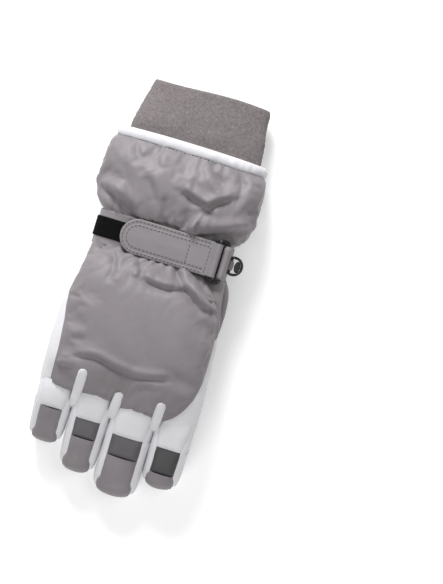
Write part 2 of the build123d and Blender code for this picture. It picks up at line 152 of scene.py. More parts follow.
HAND_FOLDS = [
    ([(-9, 6.0), (7, 3.0), (25, 6.5)], 2.3, 2.5, 1),
    ([(12, 20), (23, 7), (37, -1.5), (50, -3)], 2.6, 2.8, 1),
    ([(-15, 20), (-8, 10)], 1.6, 2.4, -1),
    ([(27, 20), (45, 3)], 2.2, 2.4, -1),
    ([(-34, 20), (-28, 9), (-30, 0)], 1.4, 2.6, 1),
    ([(-38, -59.5), (-23, -55.5), (-10, -59), (8, -61.5), (30, -56.5)], 2.0, 2.0, 1),
    ([(-53, -67), (-46, -69.5), (-36, -67)], 1.2, 1.8, 1),
    ([(12, -68), (20, -64.5), (26, -66)], 0.9, 1.8, 1),
    ([(-49, -48), (-33, -46)], 0.6, 2.6, 1),
    ([(40, 8), (50, -8), (52, -24)], 1.0, 2.8, -1),
]
PALM_FOLDS = [
    ([(-48, -60), (-20, -63.5), (10, -61), (40, -64)], 1.5, 2.6, 1),
    ([(-40, 20), (-30, 6), (-34, -2)], 1.5, 3.0, 1),
    ([(-10, 24), (-6, 10), (-9, 0)], 1.6, 3.0, -1),
    ([(-26, 22), (-19, 10), (-22, 1)], 1.0, 2.6, -1),
]
SHIRR_ROWS = (29.0, 36.5, 44.0, 51.5)


# ---------------------------------------------------------------- curves and surfaces
def smooth(at, knots, values):
    """A smooth curve through the values, with no overshoot between them."""
    at = np.asarray(at, float)
    run = np.diff(knots)
    steep = np.diff(values) / run
    tangent = np.zeros(len(knots))
    for i in range(1, len(knots) - 1):
        if steep[i - 1] * steep[i] > 0:
            tangent[i] = 2 * steep[i - 1] * steep[i] / (steep[i - 1] + steep[i])
    i = np.clip(np.searchsorted(knots, at) - 1, 0, len(run) - 1)
    t = np.clip((at - np.take(knots, i)) / run[i], 0, 1)
    low, high = np.take(values, i), np.take(values, i + 1)
    rise = t * t * (3 - 2 * t)
    bend = run[i] * (t * (1 - t) ** 2 * tangent[i] - t * t * (1 - t) * tangent[i + 1])
    return low + (high - low) * rise + bend


def through(points, at):
    return smooth(at, [p[0] for p in points], [p[1] for p in points])


def section(y):
    """Middle x and z, half width, half height and squareness of the glove at a place along it."""
    columns = list(zip(*SECTIONS))
    return [smooth(y, columns[0], column) for column in columns[1:]]


def oval(angle, half_width, half_height, square):
    """A point on a squarish oval and the outward direction there, both across the glove."""
    c, s = np.cos(angle), np.sin(angle)
    x = half_width * np.sign(c) * np.abs(c) ** (2 / square)
    z = half_height * np.sign(s) * np.abs(s) ** (2 / square)
    nx = np.sign(c) * np.abs(c) ** (2 - 2 / square) / half_width
    nz = np.sign(s) * np.abs(s) ** (2 - 2 / square) / half_height
    size = np.hypot(nx, nz) + 1e-9
    return x, z, nx / size, nz / size


def seam_angle(share, square):
    """The angle round the oval at which it lies a share of its half width across."""
    share = np.clip(share, -1, 1)
    return np.arccos(np.sign(share) * np.abs(share) ** (square / 2))


def even_angles(start, end, shape, count):
    """Angles from start to end that are evenly spaced along the oval."""
    angles = np.linspace(start, end, 160)
    x, z, _, _ = oval(angles, *shape)
    along = np.concatenate(([0], np.cumsum(np.hypot(np.diff(x), np.diff(z)))))
    return np.interp(np.linspace(0, along[-1], count), along, angles)


def panel(start_y, end_y, start, end, columns, back_edge=None, front_edge=None):
    """A grid over the glove between two lengthwise seams: its points and its outward directions.
    start and end give a seam's angle at y. An edge gives its place along the glove at each x."""
    rows = max(int(abs(end_y - start_y) / SPACING), 3)
    points = np.zeros((rows, columns, 3))
    outward = np.zeros((rows, columns, 3))
    for r in range(rows):
        v = r / (rows - 1)
        y = start_y + (end_y - start_y) * v
        x0, z0, a, b, n = section(y)
        angles = even_angles(start(y), end(y), (a, b, n), columns)
        ys = np.full(columns, y)
        x = x0 + oval(angles, a, b, n)[0]
        if back_edge is not None:
            ys += (1 - v) ** 3 * (through(back_edge, x) - start_y)
        if front_edge is not None:
            ys += v**3 * (through(front_edge, x) - end_y)
        x0, z0, a, b, n = section(ys)
        x, z, nx, nz = oval(angles, a, b, n)
        points[r] = np.stack((x0 + x, ys, z0 + z), 1)
        outward[r] = np.stack((nx, 0 * nx, nz), 1)
    if end_y > start_y:
        points, outward = points[:, ::-1], outward[:, ::-1]
    return points, outward


def edge_distances(points, edges):
    """Each grid point's distance to the nearest of the named edges of its grid."""
    across = np.linalg.norm(np.diff(points, axis=1), axis=2).cumsum(1)
    across = np.concatenate((np.zeros((len(points), 1)), across), 1)
    along = np.linalg.norm(np.diff(points, axis=0), axis=2).cumsum(0)
    along = np.concatenate((np.zeros((1, points.shape[1])), along), 0)
    options = {
        "start": across, "end": across[:, -1:] - across, "back": along, "front": along[-1:] - along
    }
    found = np.full(points.shape[:2], 1e3)
    for name in edges:
        found = np.minimum(found, options[name])
    return found


def sewn(points, outward, edges, crown=CROWN):
    """Pulls a panel in along its seams and swells it between them."""
    distance = edge_distances(points, edges)
    rise = crown * (1 - np.exp(-((distance / CROWN_REACH) ** 2)))
    rise -= SEAM_DIP * np.exp(-((distance / SEAM_WIDTH) ** 2))
    return points + outward * rise[..., None]


def path_distance(x, y, path):
    """Signed distance from each point to a path, and how far along the path it is, from 0 to 1."""
    best = np.full(x.shape, 1e9)
    place = np.zeros(x.shape)
    pieces = len(path) - 1
    for k, ((ax, ay), (bx, by)) in enumerate(zip(path[:-1], path[1:])):
        dx, dy = bx - ax, by - ay
        t = np.clip(((x - ax) * dx + (y - ay) * dy) / (dx * dx + dy * dy), 0, 1)
        off_x, off_y = x - ax - t * dx, y - ay - t * dy
        far = np.hypot(off_x, off_y)
        side = np.sign(dx * off_y - dy * off_x)
        nearer = far < np.abs(best)
        best = np.where(nearer, far * np.where(side == 0, 1, side), best)
        place = np.where(nearer, (k + t) / pieces, place)
    return best, place


def rounded_path(path):
    """The path with its corners cut twice, so that a fold along it bends smoothly."""
    for _ in range(3):
        cut = [path[0]]
        for (ax, ay), (bx, by) in zip(path[:-1], path[1:]):
            cut.append((0.75 * ax + 0.25 * bx, 0.75 * ay + 0.25 * by))
            cut.append((0.25 * ax + 0.75 * bx, 0.25 * ay + 0.75 * by))
        path = cut + [path[-1]]
    return path


def folded(points, outward, folds):
    """Presses folds into a panel: a valley along each path, and a ridge beside it."""
    x, y = points[..., 0], points[..., 1]
    rise = np.zeros(x.shape)
    for path, depth, width, side in folds:
        distance, place = path_distance(x, y, rounded_path(path))
        fade = np.sin(np.clip(place, 0.02, 0.98) * pi) ** 0.5
        valley = np.exp(-(np.abs(distance / width) ** 1.4))
        ridge = np.exp(-(((distance - side * 1.7 * width) / (1.5 * width)) ** 2))
        rise += FOLD_DEPTH * depth * fade * (0.7 * ridge - valley)
    return points + outward * rise[..., None]


def waves(points, size, seed):
    """Smooth random values over a grid, from about -1 to 1."""
    flat = points.reshape(-1, 3) / size + seed * 17.3
    return np.array([noise.noise(p) for p in flat]).reshape(points.shape[:-1])


def not_deeper(points, base, outward):
    """Keeps folds from pressing through the wadding into the lining."""
    depth = -((points - base) * outward).sum(-1)
    over = np.maximum(depth - FOLD_LIMIT, 0)
    room = 1.2
    return points + outward * (over - room * np.tanh(over / room))[..., None]


def held_at_seams(points, base):
    """Lets folds and puckers fade out at the lengthwise seams, so that the panels stay joined there."""
    away = edge_distances(base, ["start", "end"])
    share = np.clip(away / SEAM_HOLD, 0, 1) ** 2
    return base + (points - base) * share[..., None]


def gathered(points, outward, edge, side, depth, seed):
    """Short uneven puckers where a strap or a seam pulls the cloth together, fading away from its edge."""
    x, y = points[..., 0], points[..., 1]
    away = np.clip(side * (y - edge), 0, None)
    wander = waves(points, 24, seed) * 9 + waves(points, 9, seed + 4) * 2.5
    pucker = 1 - np.abs(np.sin((x + wander + 0.35 * side * y) * pi / GATHER_PITCH)) ** 0.7
    reach = GATHER_REACH * (1 + 0.8 * waves(points * np.array((1.0, 0.0, 0.0)), 11, seed + 8))
    fade = np.exp(-away / np.maximum(reach, 2))
    return points - outward * (depth * fade * (2.2 * pucker - 0.8))[..., None]


def resampled(grid, rows, columns):
    """The grid read at another number of evenly spread rows and columns."""
    r = np.linspace(0, len(grid) - 1, rows)
    c = np.linspace(0, grid.shape[1] - 1, columns)
    low_r = np.minimum(r.astype(int), len(grid) - 2)
    low_c = np.minimum(c.astype(int), grid.shape[1] - 2)
    part_r = (r - low_r)[:, None, None]
    part_c = (c - low_c)[None, :, None]
    near = grid[low_r][:, low_c] * (1 - part_c) + grid[low_r][:, low_c + 1] * part_c
    far = grid[low_r + 1][:, low_c] * (1 - part_c) + grid[low_r + 1][:, low_c + 1] * part_c
    return near * (1 - part_r) + far * part_r


def simulated(points, growth, pressure, held="start end back front"):
    """Lets a panel settle as cloth that is cut a little too large and blown up by its wadding, held at its
    seams. The cloth is coarser than the panel, which then moves with it."""
    rows, columns = [max(int(n / CLOTH_STEP), 5) for n in points.shape[:2]]
    coarse = resampled(points, rows, columns)
    cloth = grid_mesh("cloth", coarse, GRAY)
    number = np.arange(rows * columns).reshape(rows, columns)
    edges = {"start": number[:, 0], "end": number[:, -1], "back": number[0], "front": number[-1]}
    pins = cloth.vertex_groups.new(name="pins")
    for edge in held.split():
        pins.add(edges[edge].tolist(), 1.0, "REPLACE")
    modifier = cloth.modifiers.new("cloth", "CLOTH")
    modifier.point_cache.frame_end = CLOTH_FRAMES
    cloth_settings = modifier.settings
    cloth_settings.vertex_group_mass = "pins"
    cloth_settings.shrink_min = -growth
    cloth_settings.use_pressure = True
    cloth_settings.uniform_pressure_force = pressure
    cloth_settings.bending_stiffness = CLOTH_BENDING
    cloth_settings.effector_weights.gravity = 0
    cloth_settings.quality = 8
    for frame_number in range(1, CLOTH_FRAMES + 1):
        bpy.context.scene.frame_set(frame_number)
    settled = cloth.evaluated_get(bpy.context.evaluated_depsgraph_get()).data
    moved = np.zeros(rows * columns * 3)
    settled.vertices.foreach_get("co", moved)
    moved = moved.reshape(rows, columns, 3) / MM - coarse
    far = np.linalg.norm(moved, axis=2, keepdims=True)
    moved *= CLOTH_REACH * np.tanh(far / CLOTH_REACH) / (far + 1e-9)
    bpy.data.objects.remove(cloth)
    bpy.context.scene.frame_set(1)
    return points + resampled(moved, *points.shape[:2])


def slit_groove(points, outward):
    """The valleys that lead into the gaps between the fingers."""
    x, y = points[..., 0], points[..., 1]
    depth = 2.4 * np.clip((-64 - y) / 22, 0, 1) ** 1.6
    rise = sum(np.exp(-(((x - slit) / 3.0) ** 2)) for slit in SLITS)
    return points - outward * (depth * rise)[..., None]


# ---------------------------------------------------------------- meshes
def grid_mesh(name, points, material, ring=False):
    """A smooth surface through a grid of points, in millimetres. A ring joins its last column to its first."""
    rows, columns = points.shape[:2]
    points = points.copy()
    points[..., 2] = np.maximum(points[..., 2], FLOOR_GAP)
    index = np.arange(rows * columns).reshape(rows, columns)
    if ring:
        index = np.concatenate((index, index[:, :1]), 1)
    corners = (index[:-1, :-1], index[:-1, 1:], index[1:, 1:], index[1:, :-1])
    faces = np.stack([c.ravel() for c in corners], 1)
    mesh = bpy.data.meshes.new(name)
    mesh.from_pydata((points.reshape(-1, 3) * MM).tolist(), [], faces.tolist())
    mesh.polygons.foreach_set("use_smooth", [True] * len(mesh.polygons))
    mesh.materials.append(material)
    piece = bpy.data.objects.new(name, mesh)
    bpy.context.scene.collection.objects.link(piece)
    return piece


def join_pieces(name, pieces):
    """Several pieces as one object."""
    with bpy.context.temp_override(
        active_object=pieces[0], selected_editable_objects=pieces, selected_objects=pieces
    ):
        bpy.ops.object.join()
    pieces[0].name = name
    return pieces[0]


def swept_tube(name, line, radius, material, closed=False, flat=1.0, sides=12):
    """A round or flattened bar along a line of points, in millimetres. flat is its thickness over width."""
    line = np.array(line, float)
    if closed:
        ahead, behind = np.roll(line, -1, 0), np.roll(line, 1, 0)
    else:
        ahead, behind = np.vstack((line[1:], line[-1:])), np.vstack((line[:1], line[:-1]))
    tangent = ahead - behind
    tangent /= np.linalg.norm(tangent, axis=1)[:, None]
    middle = line.mean(0)
    spread = np.linalg.svd(line - middle, full_matrices=True)[2]
    up = spread[2]
    side = np.cross(tangent, up)
    side /= np.linalg.norm(side, axis=1)[:, None]
    around = np.linspace(0, 2 * pi, sides, endpoint=False)
    ring = side[:, None] * np.cos(around)[None, :, None] * radius
    ring = ring + up * np.sin(around)[None, :, None] * radius * flat
    points = line[:, None] + ring
    if closed:
        points = np.concatenate((points, points[:1]), 0)
    else:
        points = np.concatenate((line[:1, None] + 0 * ring[:1], points, line[-1:, None] + 0 * ring[-1:]), 0)
    return grid_mesh(name, points, material, ring=True)


def stitches(name, line, outward, material, length=2.3, gap=1.1, radius=0.27):
    """A row of short raised threads along a line of points."""
    line, outward = np.array(line, float), np.array(outward, float)
    steps = np.linalg.norm(np.diff(line, axis=0), axis=1)
    along = np.concatenate(([0], np.cumsum(steps)))
    count = int(along[-1] / (length + gap))
    threads = []
    for k in range(count):
        places = np.linspace(0, 1, 5) * length + k * (length + gap) + gap / 2
        core = np.stack([np.interp(places, along, line[:, i]) for i in range(3)], 1)
        up = np.stack([np.interp(places, along, outward[:, i]) for i in range(3)], 1)
        core += up * (np.sin(np.linspace(0, pi, 5)) * 0.28 - 0.05)[:, None]
        tangent = core[-1] - core[0]
        tangent /= np.linalg.norm(tangent) + 1e-9
        side = np.cross(tangent, up[2])
        side /= np.linalg.norm(side) + 1e-9
        around = np.linspace(0, 2 * pi, 6, endpoint=False)
        girth = radius * np.sin(np.linspace(0.12, pi - 0.12, 5)) ** 0.4
        ring = np.cos(around)[None, :, None] * side + np.sin(around)[None, :, None] * up[2]
        threads.append(core[:, None] + ring * girth[:, None, None])
    blocks = [grid_mesh(f"{name}_{k}", t, material, ring=True) for k, t in enumerate(threads)]
    return join_pieces(name, blocks)


# ---------------------------------------------------------------- materials
class Nodes:
    """A short way to write a node material."""

    def __init__(self, name, roughness, sheen=0.0, specular=0.5):
        self.material = bpy.data.materials.new(name)
        self.material.use_nodes = True
        self.tree = self.material.node_tree
        self.shader = self.tree.nodes["Principled BSDF"]
        self.shader.inputs["Roughness"].default_value = roughness
        self.shader.inputs["Sheen Weight"].default_value = sheen
        self.shader.inputs["Specular IOR Level"].default_value = specular
        self.place = self.add("ShaderNodeTexCoord").outputs["Object"]

    def add(self, kind, **settings):
        node = self.tree.nodes.new(kind)
        for key, value in settings.items():
            setattr(node, key, value)
        return node

    def link(self, output, socket):
        self.tree.links.new(output, socket)

    def noise(self, size, detail=3.0, rough=0.5):
        """Noise whose grains are about size millimetres."""
        node = self.add("ShaderNodeTexNoise")
        node.inputs["Scale"].default_value = 1 / (size * MM)
        node.inputs["Detail"].default_value = detail
        node.inputs["Roughness"].default_value = rough
        self.link(self.place, node.inputs["Vector"])
        return node.outputs["Fac"]

    def turned(self, x, y, z):
        node = self.add("ShaderNodeMapping")
        node.inputs["Rotation"].default_value = (radians(x), radians(y), radians(z))
        self.link(self.place, node.inputs["Vector"])
        return node.outputs["Vector"]

    def threads(self, pitch, turn=0.0, direction="X"):
        """Parallel threads at a pitch in millimetres."""
        node = self.add("ShaderNodeTexWave", bands_direction=direction)
        node.inputs["Scale"].default_value = pi / (10 * pitch * MM)
        node.inputs["Distortion"].default_value = 0.4
        node.inputs["Detail"].default_value = 1.0
        self.link(self.turned(0, 0, turn), node.inputs["Vector"])
        return node.outputs["Fac"]

    def combine(self, kind, a, b):
        node = self.add("ShaderNodeMath", operation=kind)
        for socket, value in zip(node.inputs, (a, b)):
            if isinstance(value, (int, float)):
                socket.default_value = value
            else:
                self.link(value, socket)
        return node.outputs["Value"]

    def colours(self, fac, stops):
        node = self.add("ShaderNodeValToRGB")
        ramp = node.color_ramp
        while len(ramp.elements) < len(stops):
            ramp.elements.new(0.5)
        for element, (place, colour) in zip(ramp.elements, stops):
            element.position = place
            element.color = (*colour, 1)
        self.link(fac, node.inputs["Fac"])
        self.link(node.outputs["Color"], self.shader.inputs["Base Color"])

    def relief(self, height, distance, strength=1.0, under=None):
        """Bumps of a height in millimetres, over any bumps below them."""
        node = self.add("ShaderNodeBump")
        node.inputs["Distance"].default_value = distance * MM
        node.inputs["Strength"].default_value = strength
        self.link(height, node.inputs["Height"])
        if under is not None:
            self.link(under, node.inputs["Normal"])
        self.link(node.outputs["Normal"], self.shader.inputs["Normal"])
        return node.outputs["Normal"]


def shade(colour, share):
    return tuple(c * share for c in colour)


def nylon(name, colour, roughness=0.5, spread=0.08):
    """Fine plain-woven satin nylon, a little mottled and creased."""
    n = Nodes(name, roughness, sheen=0.03, specular=0.34)
    patches = n.noise(26, 4, 0.55)
    n.colours(patches, [(0.3, shade(colour, 1 - spread)), (0.7, shade(colour, 1 + spread))])
    weave = n.combine("ADD", n.threads(0.55, 45), n.threads(0.55, -45))
    fine = n.relief(weave, 0.05, 0.5)
    creases = n.relief(n.noise(7, 3, 0.5), 0.7, 0.35, fine)
    n.relief(n.noise(19, 2, 0.5), 1.6, 0.3, creases)
    return n.material


def fleece_cloth():
    """Short brushed pile with small tufts."""
    n = Nodes("fleece", 0.95, sheen=0.15, specular=0.05)
    tufts = n.noise(1.5, 4, 0.65)
    n.colours(tufts, [(0.3, (0.140, 0.122, 0.123)), (0.5, (0.187, 0.166, 0.168)), (0.7, (0.235, 0.211, 0.213))])
    n.relief(n.noise(0.7, 3, 0.6), 0.4, 0.5, n.relief(tufts, 0.9, 0.6))
    return n.material


def grip_cloth():
    """Black coated cloth with a fine diagonal pattern of raised dots."""
    n = Nodes("palm_grip", 0.55, specular=0.35)
    dots = n.combine("MULTIPLY", n.threads(1.7, 38), n.threads(1.7, -52))
    n.colours(dots, [(0.2, (0.013, 0.014, 0.012)), (0.8, (0.034, 0.036, 0.031))])
    n.relief(n.noise(6, 2), 0.8, 0.3, n.relief(dots, 0.25, 0.8))
    return n.material


def black_tape():
    """Dense black loops of hook-and-loop tape."""
    n = Nodes("black_tape", 0.9, sheen=0.0, specular=0.04)
    loops = n.noise(0.7, 4, 0.7)
    n.colours(loops, [(0.35, (0.002, 0.002, 0.002)), (0.7, (0.012, 0.011, 0.011))])
    n.relief(loops, 0.5, 0.9)
    return n.material


def black_plastic():
    """Moulded black plastic with a faint grain."""
    n = Nodes("black_plastic", 0.38, specular=0.5)
    grain = n.noise(0.5, 2)
    n.colours(grain, [(0.3, (0.010, 0.010, 0.010)), (0.7, (0.017, 0.017, 0.017))])
    n.relief(grain, 0.06, 0.4)
    return n.material


def thread(name, colour):
    """Twisted sewing thread."""
    n = Nodes(name, 0.6, sheen=0.2)
    twist = n.threads(0.3, 30)
    n.colours(twist, [(0.2, shade(colour, 0.75)), (0.8, shade(colour, 1.1))])
    n.relief(twist, 0.06, 0.6)
    return n.material


GRAY = nylon("gray_nylon", (0.225, 0.206, 0.217))
WHITE = nylon("white_nylon", (0.70, 0.695, 0.72), roughness=0.6, spread=0.03)
DARK = nylon("dark_nylon", (0.108, 0.102, 0.110))
DEEP = nylon("index_band_nylon", (0.062, 0.060, 0.063))
STRAP_CLOTH = nylon("gray_webbing", (0.228, 0.212, 0.223), roughness=0.45, spread=0.05)
LINING = nylon("lining", (0.20, 0.19, 0.19), roughness=0.9)
PADDING = nylon("padding", (0.78, 0.78, 0.76), roughness=0.95)
ELASTIC = nylon("elastic", (0.70, 0.70, 0.68), roughness=0.8)
FLEECE = fleece_cloth()
GRIP = grip_cloth()
TAPE = black_tape()
PLASTIC = black_plastic()
BINDING_WHITE = nylon("binding_nylon", (0.66, 0.655, 0.685), roughness=0.6, spread=0.03)
TAB_THREAD = thread("tab_thread", (0.085, 0.08, 0.085))
GRAY_THREAD = thread("gray_thread", (0.26, 0.245, 0.255))
WHITE_THREAD = thread("white_thread", (0.74, 0.735, 0.76))


# ---------------------------------------------------------------- hand
def side_angle(_y=None):
    return pi


def left_back(y):
    return seam_angle(through(LEFT_SEAM, y), section(y)[4])


def right_back(y):
    return seam_angle(through(RIGHT_SEAM, y), section(y)[4])


def left_palm(y):
    share = np.interp(y, [-30, STRIP_START], [PALM_SEAM_SHARE, 1.0])
    return 2 * pi - seam_angle(-share, section(y)[4])


def right_palm(y):
    share = np.interp(y, [-30, STRIP_START, 24], [PALM_SEAM_SHARE, 0.985, 0.985])
    return 2 * pi - seam_angle(share, section(y)[4])


def wrist_blend(piece):
    """Bakes the placement of cloth that crosses the wrist into its mesh."""
    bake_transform(piece)


def on_hand(piece, slot, *nodes, fill=None):
    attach(piece, "hand")
    if nodes:
        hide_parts(*nodes)
    return piece


def back_of_hand():
    points, outward = panel(
        HAND_BACK_END, -84.5, right_back, left_back, 96, front_edge=KNUCKLE_SEAM
    )
    base = points
    points = stitched = sewn(points, outward, ["start", "end", "front"], crown=1.4)
    points = simulated(points, 0.04, 4)
    points = folded(points, outward, HAND_FOLDS)
    points = slit_groove(points, outward)
    points = gathered(points, outward, STRAP_LOW, -1, 1.3, 2)
    points = held_at_seams(not_deeper(points, base, outward), stitched)
    piece = grid_mesh("back_of_hand", points, GRAY)
    on_hand(piece, "gray_nylon", "back_panel", "hand_wadding", fill=0.7)
    row = stitches("knuckle_seam_thread", points[-3], outward[-3], GRAY_THREAD)
    on_hand(row, "gray_nylon")
    return points


def hand_sides():
    """White strips down both sides, and the gray cloth round the thumb's root."""
    pieces = []
    points, outward = panel(STRIP_START, -86, left_back, left_palm, 16)
    pieces.append(grid_mesh("left_side_strip", sewn(points, outward, ["start", "end"]), WHITE))
    points, outward = panel(-20, -86, lambda y: right_palm(y) - 2 * pi, right_back, 30)
    points = slit_groove(sewn(points, outward, ["start", "end"]), outward)
    pieces.append(grid_mesh("right_side_strip", points, WHITE))
    strips = join_pieces("side_strips", pieces)
    on_hand(strips, "white_nylon", "hand_side_strips", fill=0.5)
    points, outward = panel(HAND_BACK_END, -20, lambda y: right_palm(y) - 2 * pi, right_back, 24)
    points = folded(sewn(points, outward, ["start", "end", "front"]), outward, HAND_FOLDS[3:4])
    on_hand(grid_mesh("thumb_gusset", points, GRAY), "gray_nylon", fill=0.5)


def palm_panels():
    spans = [
        ("palm_heel", HAND_BACK_END, PATCH_BACK, GRAY, "gray_nylon", ["start", "end", "front"]),
        ("palm_patch", PATCH_BACK, PATCH_FRONT, GRIP, "palm_grip", ["start", "end", "back", "front"]),
        ("palm_front", PATCH_FRONT, -86, GRAY, "gray_nylon", ["start", "end", "back"]),
    ]
    for name, back, front, material, slot, edges in spans:
        points, outward = panel(back, front, left_palm, right_palm, 92)
        points = sewn(points, outward, edges, crown=0.5)
        points = simulated(points, 0.02, 1)
        points = folded(points, outward, PALM_FOLDS)
        points = slit_groove(points, outward)
        piece = grid_mesh(name + "_cloth", points, material)
        on_hand(piece, slot, name, fill=0.5)
        if name == "palm_patch":
            for edge in (1, -2):
                row = stitches(f"patch_thread_{edge % 7}", points[edge], outward[edge], GRAY_THREAD)
                on_hand(row, "gray_nylon")


def crotch_tongues(hand_cloth):
    """White ribbons from the back of the hand, down through the gaps between the fingers, to the palm."""
    pieces = []
    flat = hand_cloth.reshape(-1, 3)

    def cloth_height(x, y):
        near = np.hypot(flat[:, 0] - x, flat[:, 1] - y) < 2.5
        return flat[near, 2].max()

    for slit, (x, top) in zip(SLITS, TONGUES):
        _, low_z, _, low_b, _ = section(-84.0)
        back_z = hand_top(slit, -84.0)
        palm_z = 2 * low_z - back_z
        route = [
            (top, cloth_height(x, top) - 0.9, 3.4),
            (top - 5, cloth_height(x, top - 5) - 0.6, 3.5),
            (-83.0, cloth_height(x, -82.0) - 0.8, 3.5),
            (-88.5, back_z - 2.0, 3.3),
            (-94.0, back_z - 8.0, 2.2),
            (-93.5, palm_z + 8.0, 2.2),
            (-86.0, palm_z + 2.2, 2.6),
            (-78.0, palm_z + 0.6, 2.6),
        ]
        line = np.array(rounded_path([p[:2] for p in route]))
        steps = np.concatenate(([0], np.cumsum(np.linalg.norm(np.diff(line, axis=0), axis=1))))
        count = int(steps[-1] / 0.7)
        s = np.linspace(0, steps[-1], count)
        y, z = [np.interp(s, steps, line[:, i]) for i in range(2)]
        key = np.linspace(0, steps[-1], len(route))
        half = np.interp(s, key, [p[2] for p in route])
        half = half * np.sqrt(1 - (1 - np.clip(np.minimum(s, steps[-1] - s) / 3.4, 0, 1)) ** 2) + 0.02
        turn = np.stack((np.gradient(y), np.gradient(z)), 1)
        turn /= np.linalg.norm(turn, axis=1)[:, None]
        u = np.sin(np.linspace(-pi / 2, pi / 2, 15))
        lift = 1.5 * np.clip(1 - np.abs(u) ** 3, 0, 1) ** 0.6 - 0.5
        points = np.zeros((count, len(u), 3))
        points[..., 0] = np.interp(-y, [-top, 92], [x, slit])[:, None] + half[:, None] * u[None]
        points[..., 1] = y[:, None] + turn[:, 1:2] * lift[None]
        points[..., 2] = z[:, None] - turn[:, :1] * lift[None]
        pieces.append(grid_mesh("tongue", points, WHITE))
    on_hand(join_pieces("crotch_tongues", pieces), "white_nylon", "crotch_gussets")


# ---------------------------------------------------------------- fingers
def finger_line(name, x0, half_height, tip_length, tip_tilt):
    """The middle line of a finger, from inside the hand to its tip, as places along and above."""
    pivots = {j["name"]: np.array(j["pos_m"]) / MM for j in frame["joints"]}
    knuckle = pivots[name + "_knuckle"][1:]
    bend = pivots[name + "_middle_bend"][1:]
    tilt = radians(tip_tilt)
    tip = bend - tip_length * np.array([cos(tilt), sin(tilt)])
    start_z = hand_top(x0, FINGER_START) - half_height - FINGER_SINK
    start = (FINGER_START, start_z)
    level = (knuckle[0], min(start_z, knuckle[1] + 1.5))
    return np.array(rounded_path([start, level, tuple(bend), tuple(tip)])), knuckle, bend


def hand_top(x, y):
    x0, z0, a, b, n = section(y)
    return z0 + b * (1 - np.abs((x - x0) / a) ** n) ** (1 / n)


def swell_out(points, edges, crown, seed):
    """Sews and swells a grid along its own outward directions."""
    across = np.gradient(points, axis=1)
    along = np.gradient(points, axis=0)
    outward = np.cross(across, along)
    size = np.linalg.norm(outward, axis=2)
    outward /= size[..., None] + 1e-9
    for column, beside in ((0, 1), (-1, -2)):
        pole = size[:, column] < 1e-3
        if pole.any():
            shared = outward[pole, beside].mean(0)
            outward[pole, column] = shared / np.linalg.norm(shared)
    points = sewn(points, outward, edges, crown)
    return points + outward * (waves(points, 9, seed) * 0.35)[..., None], outward


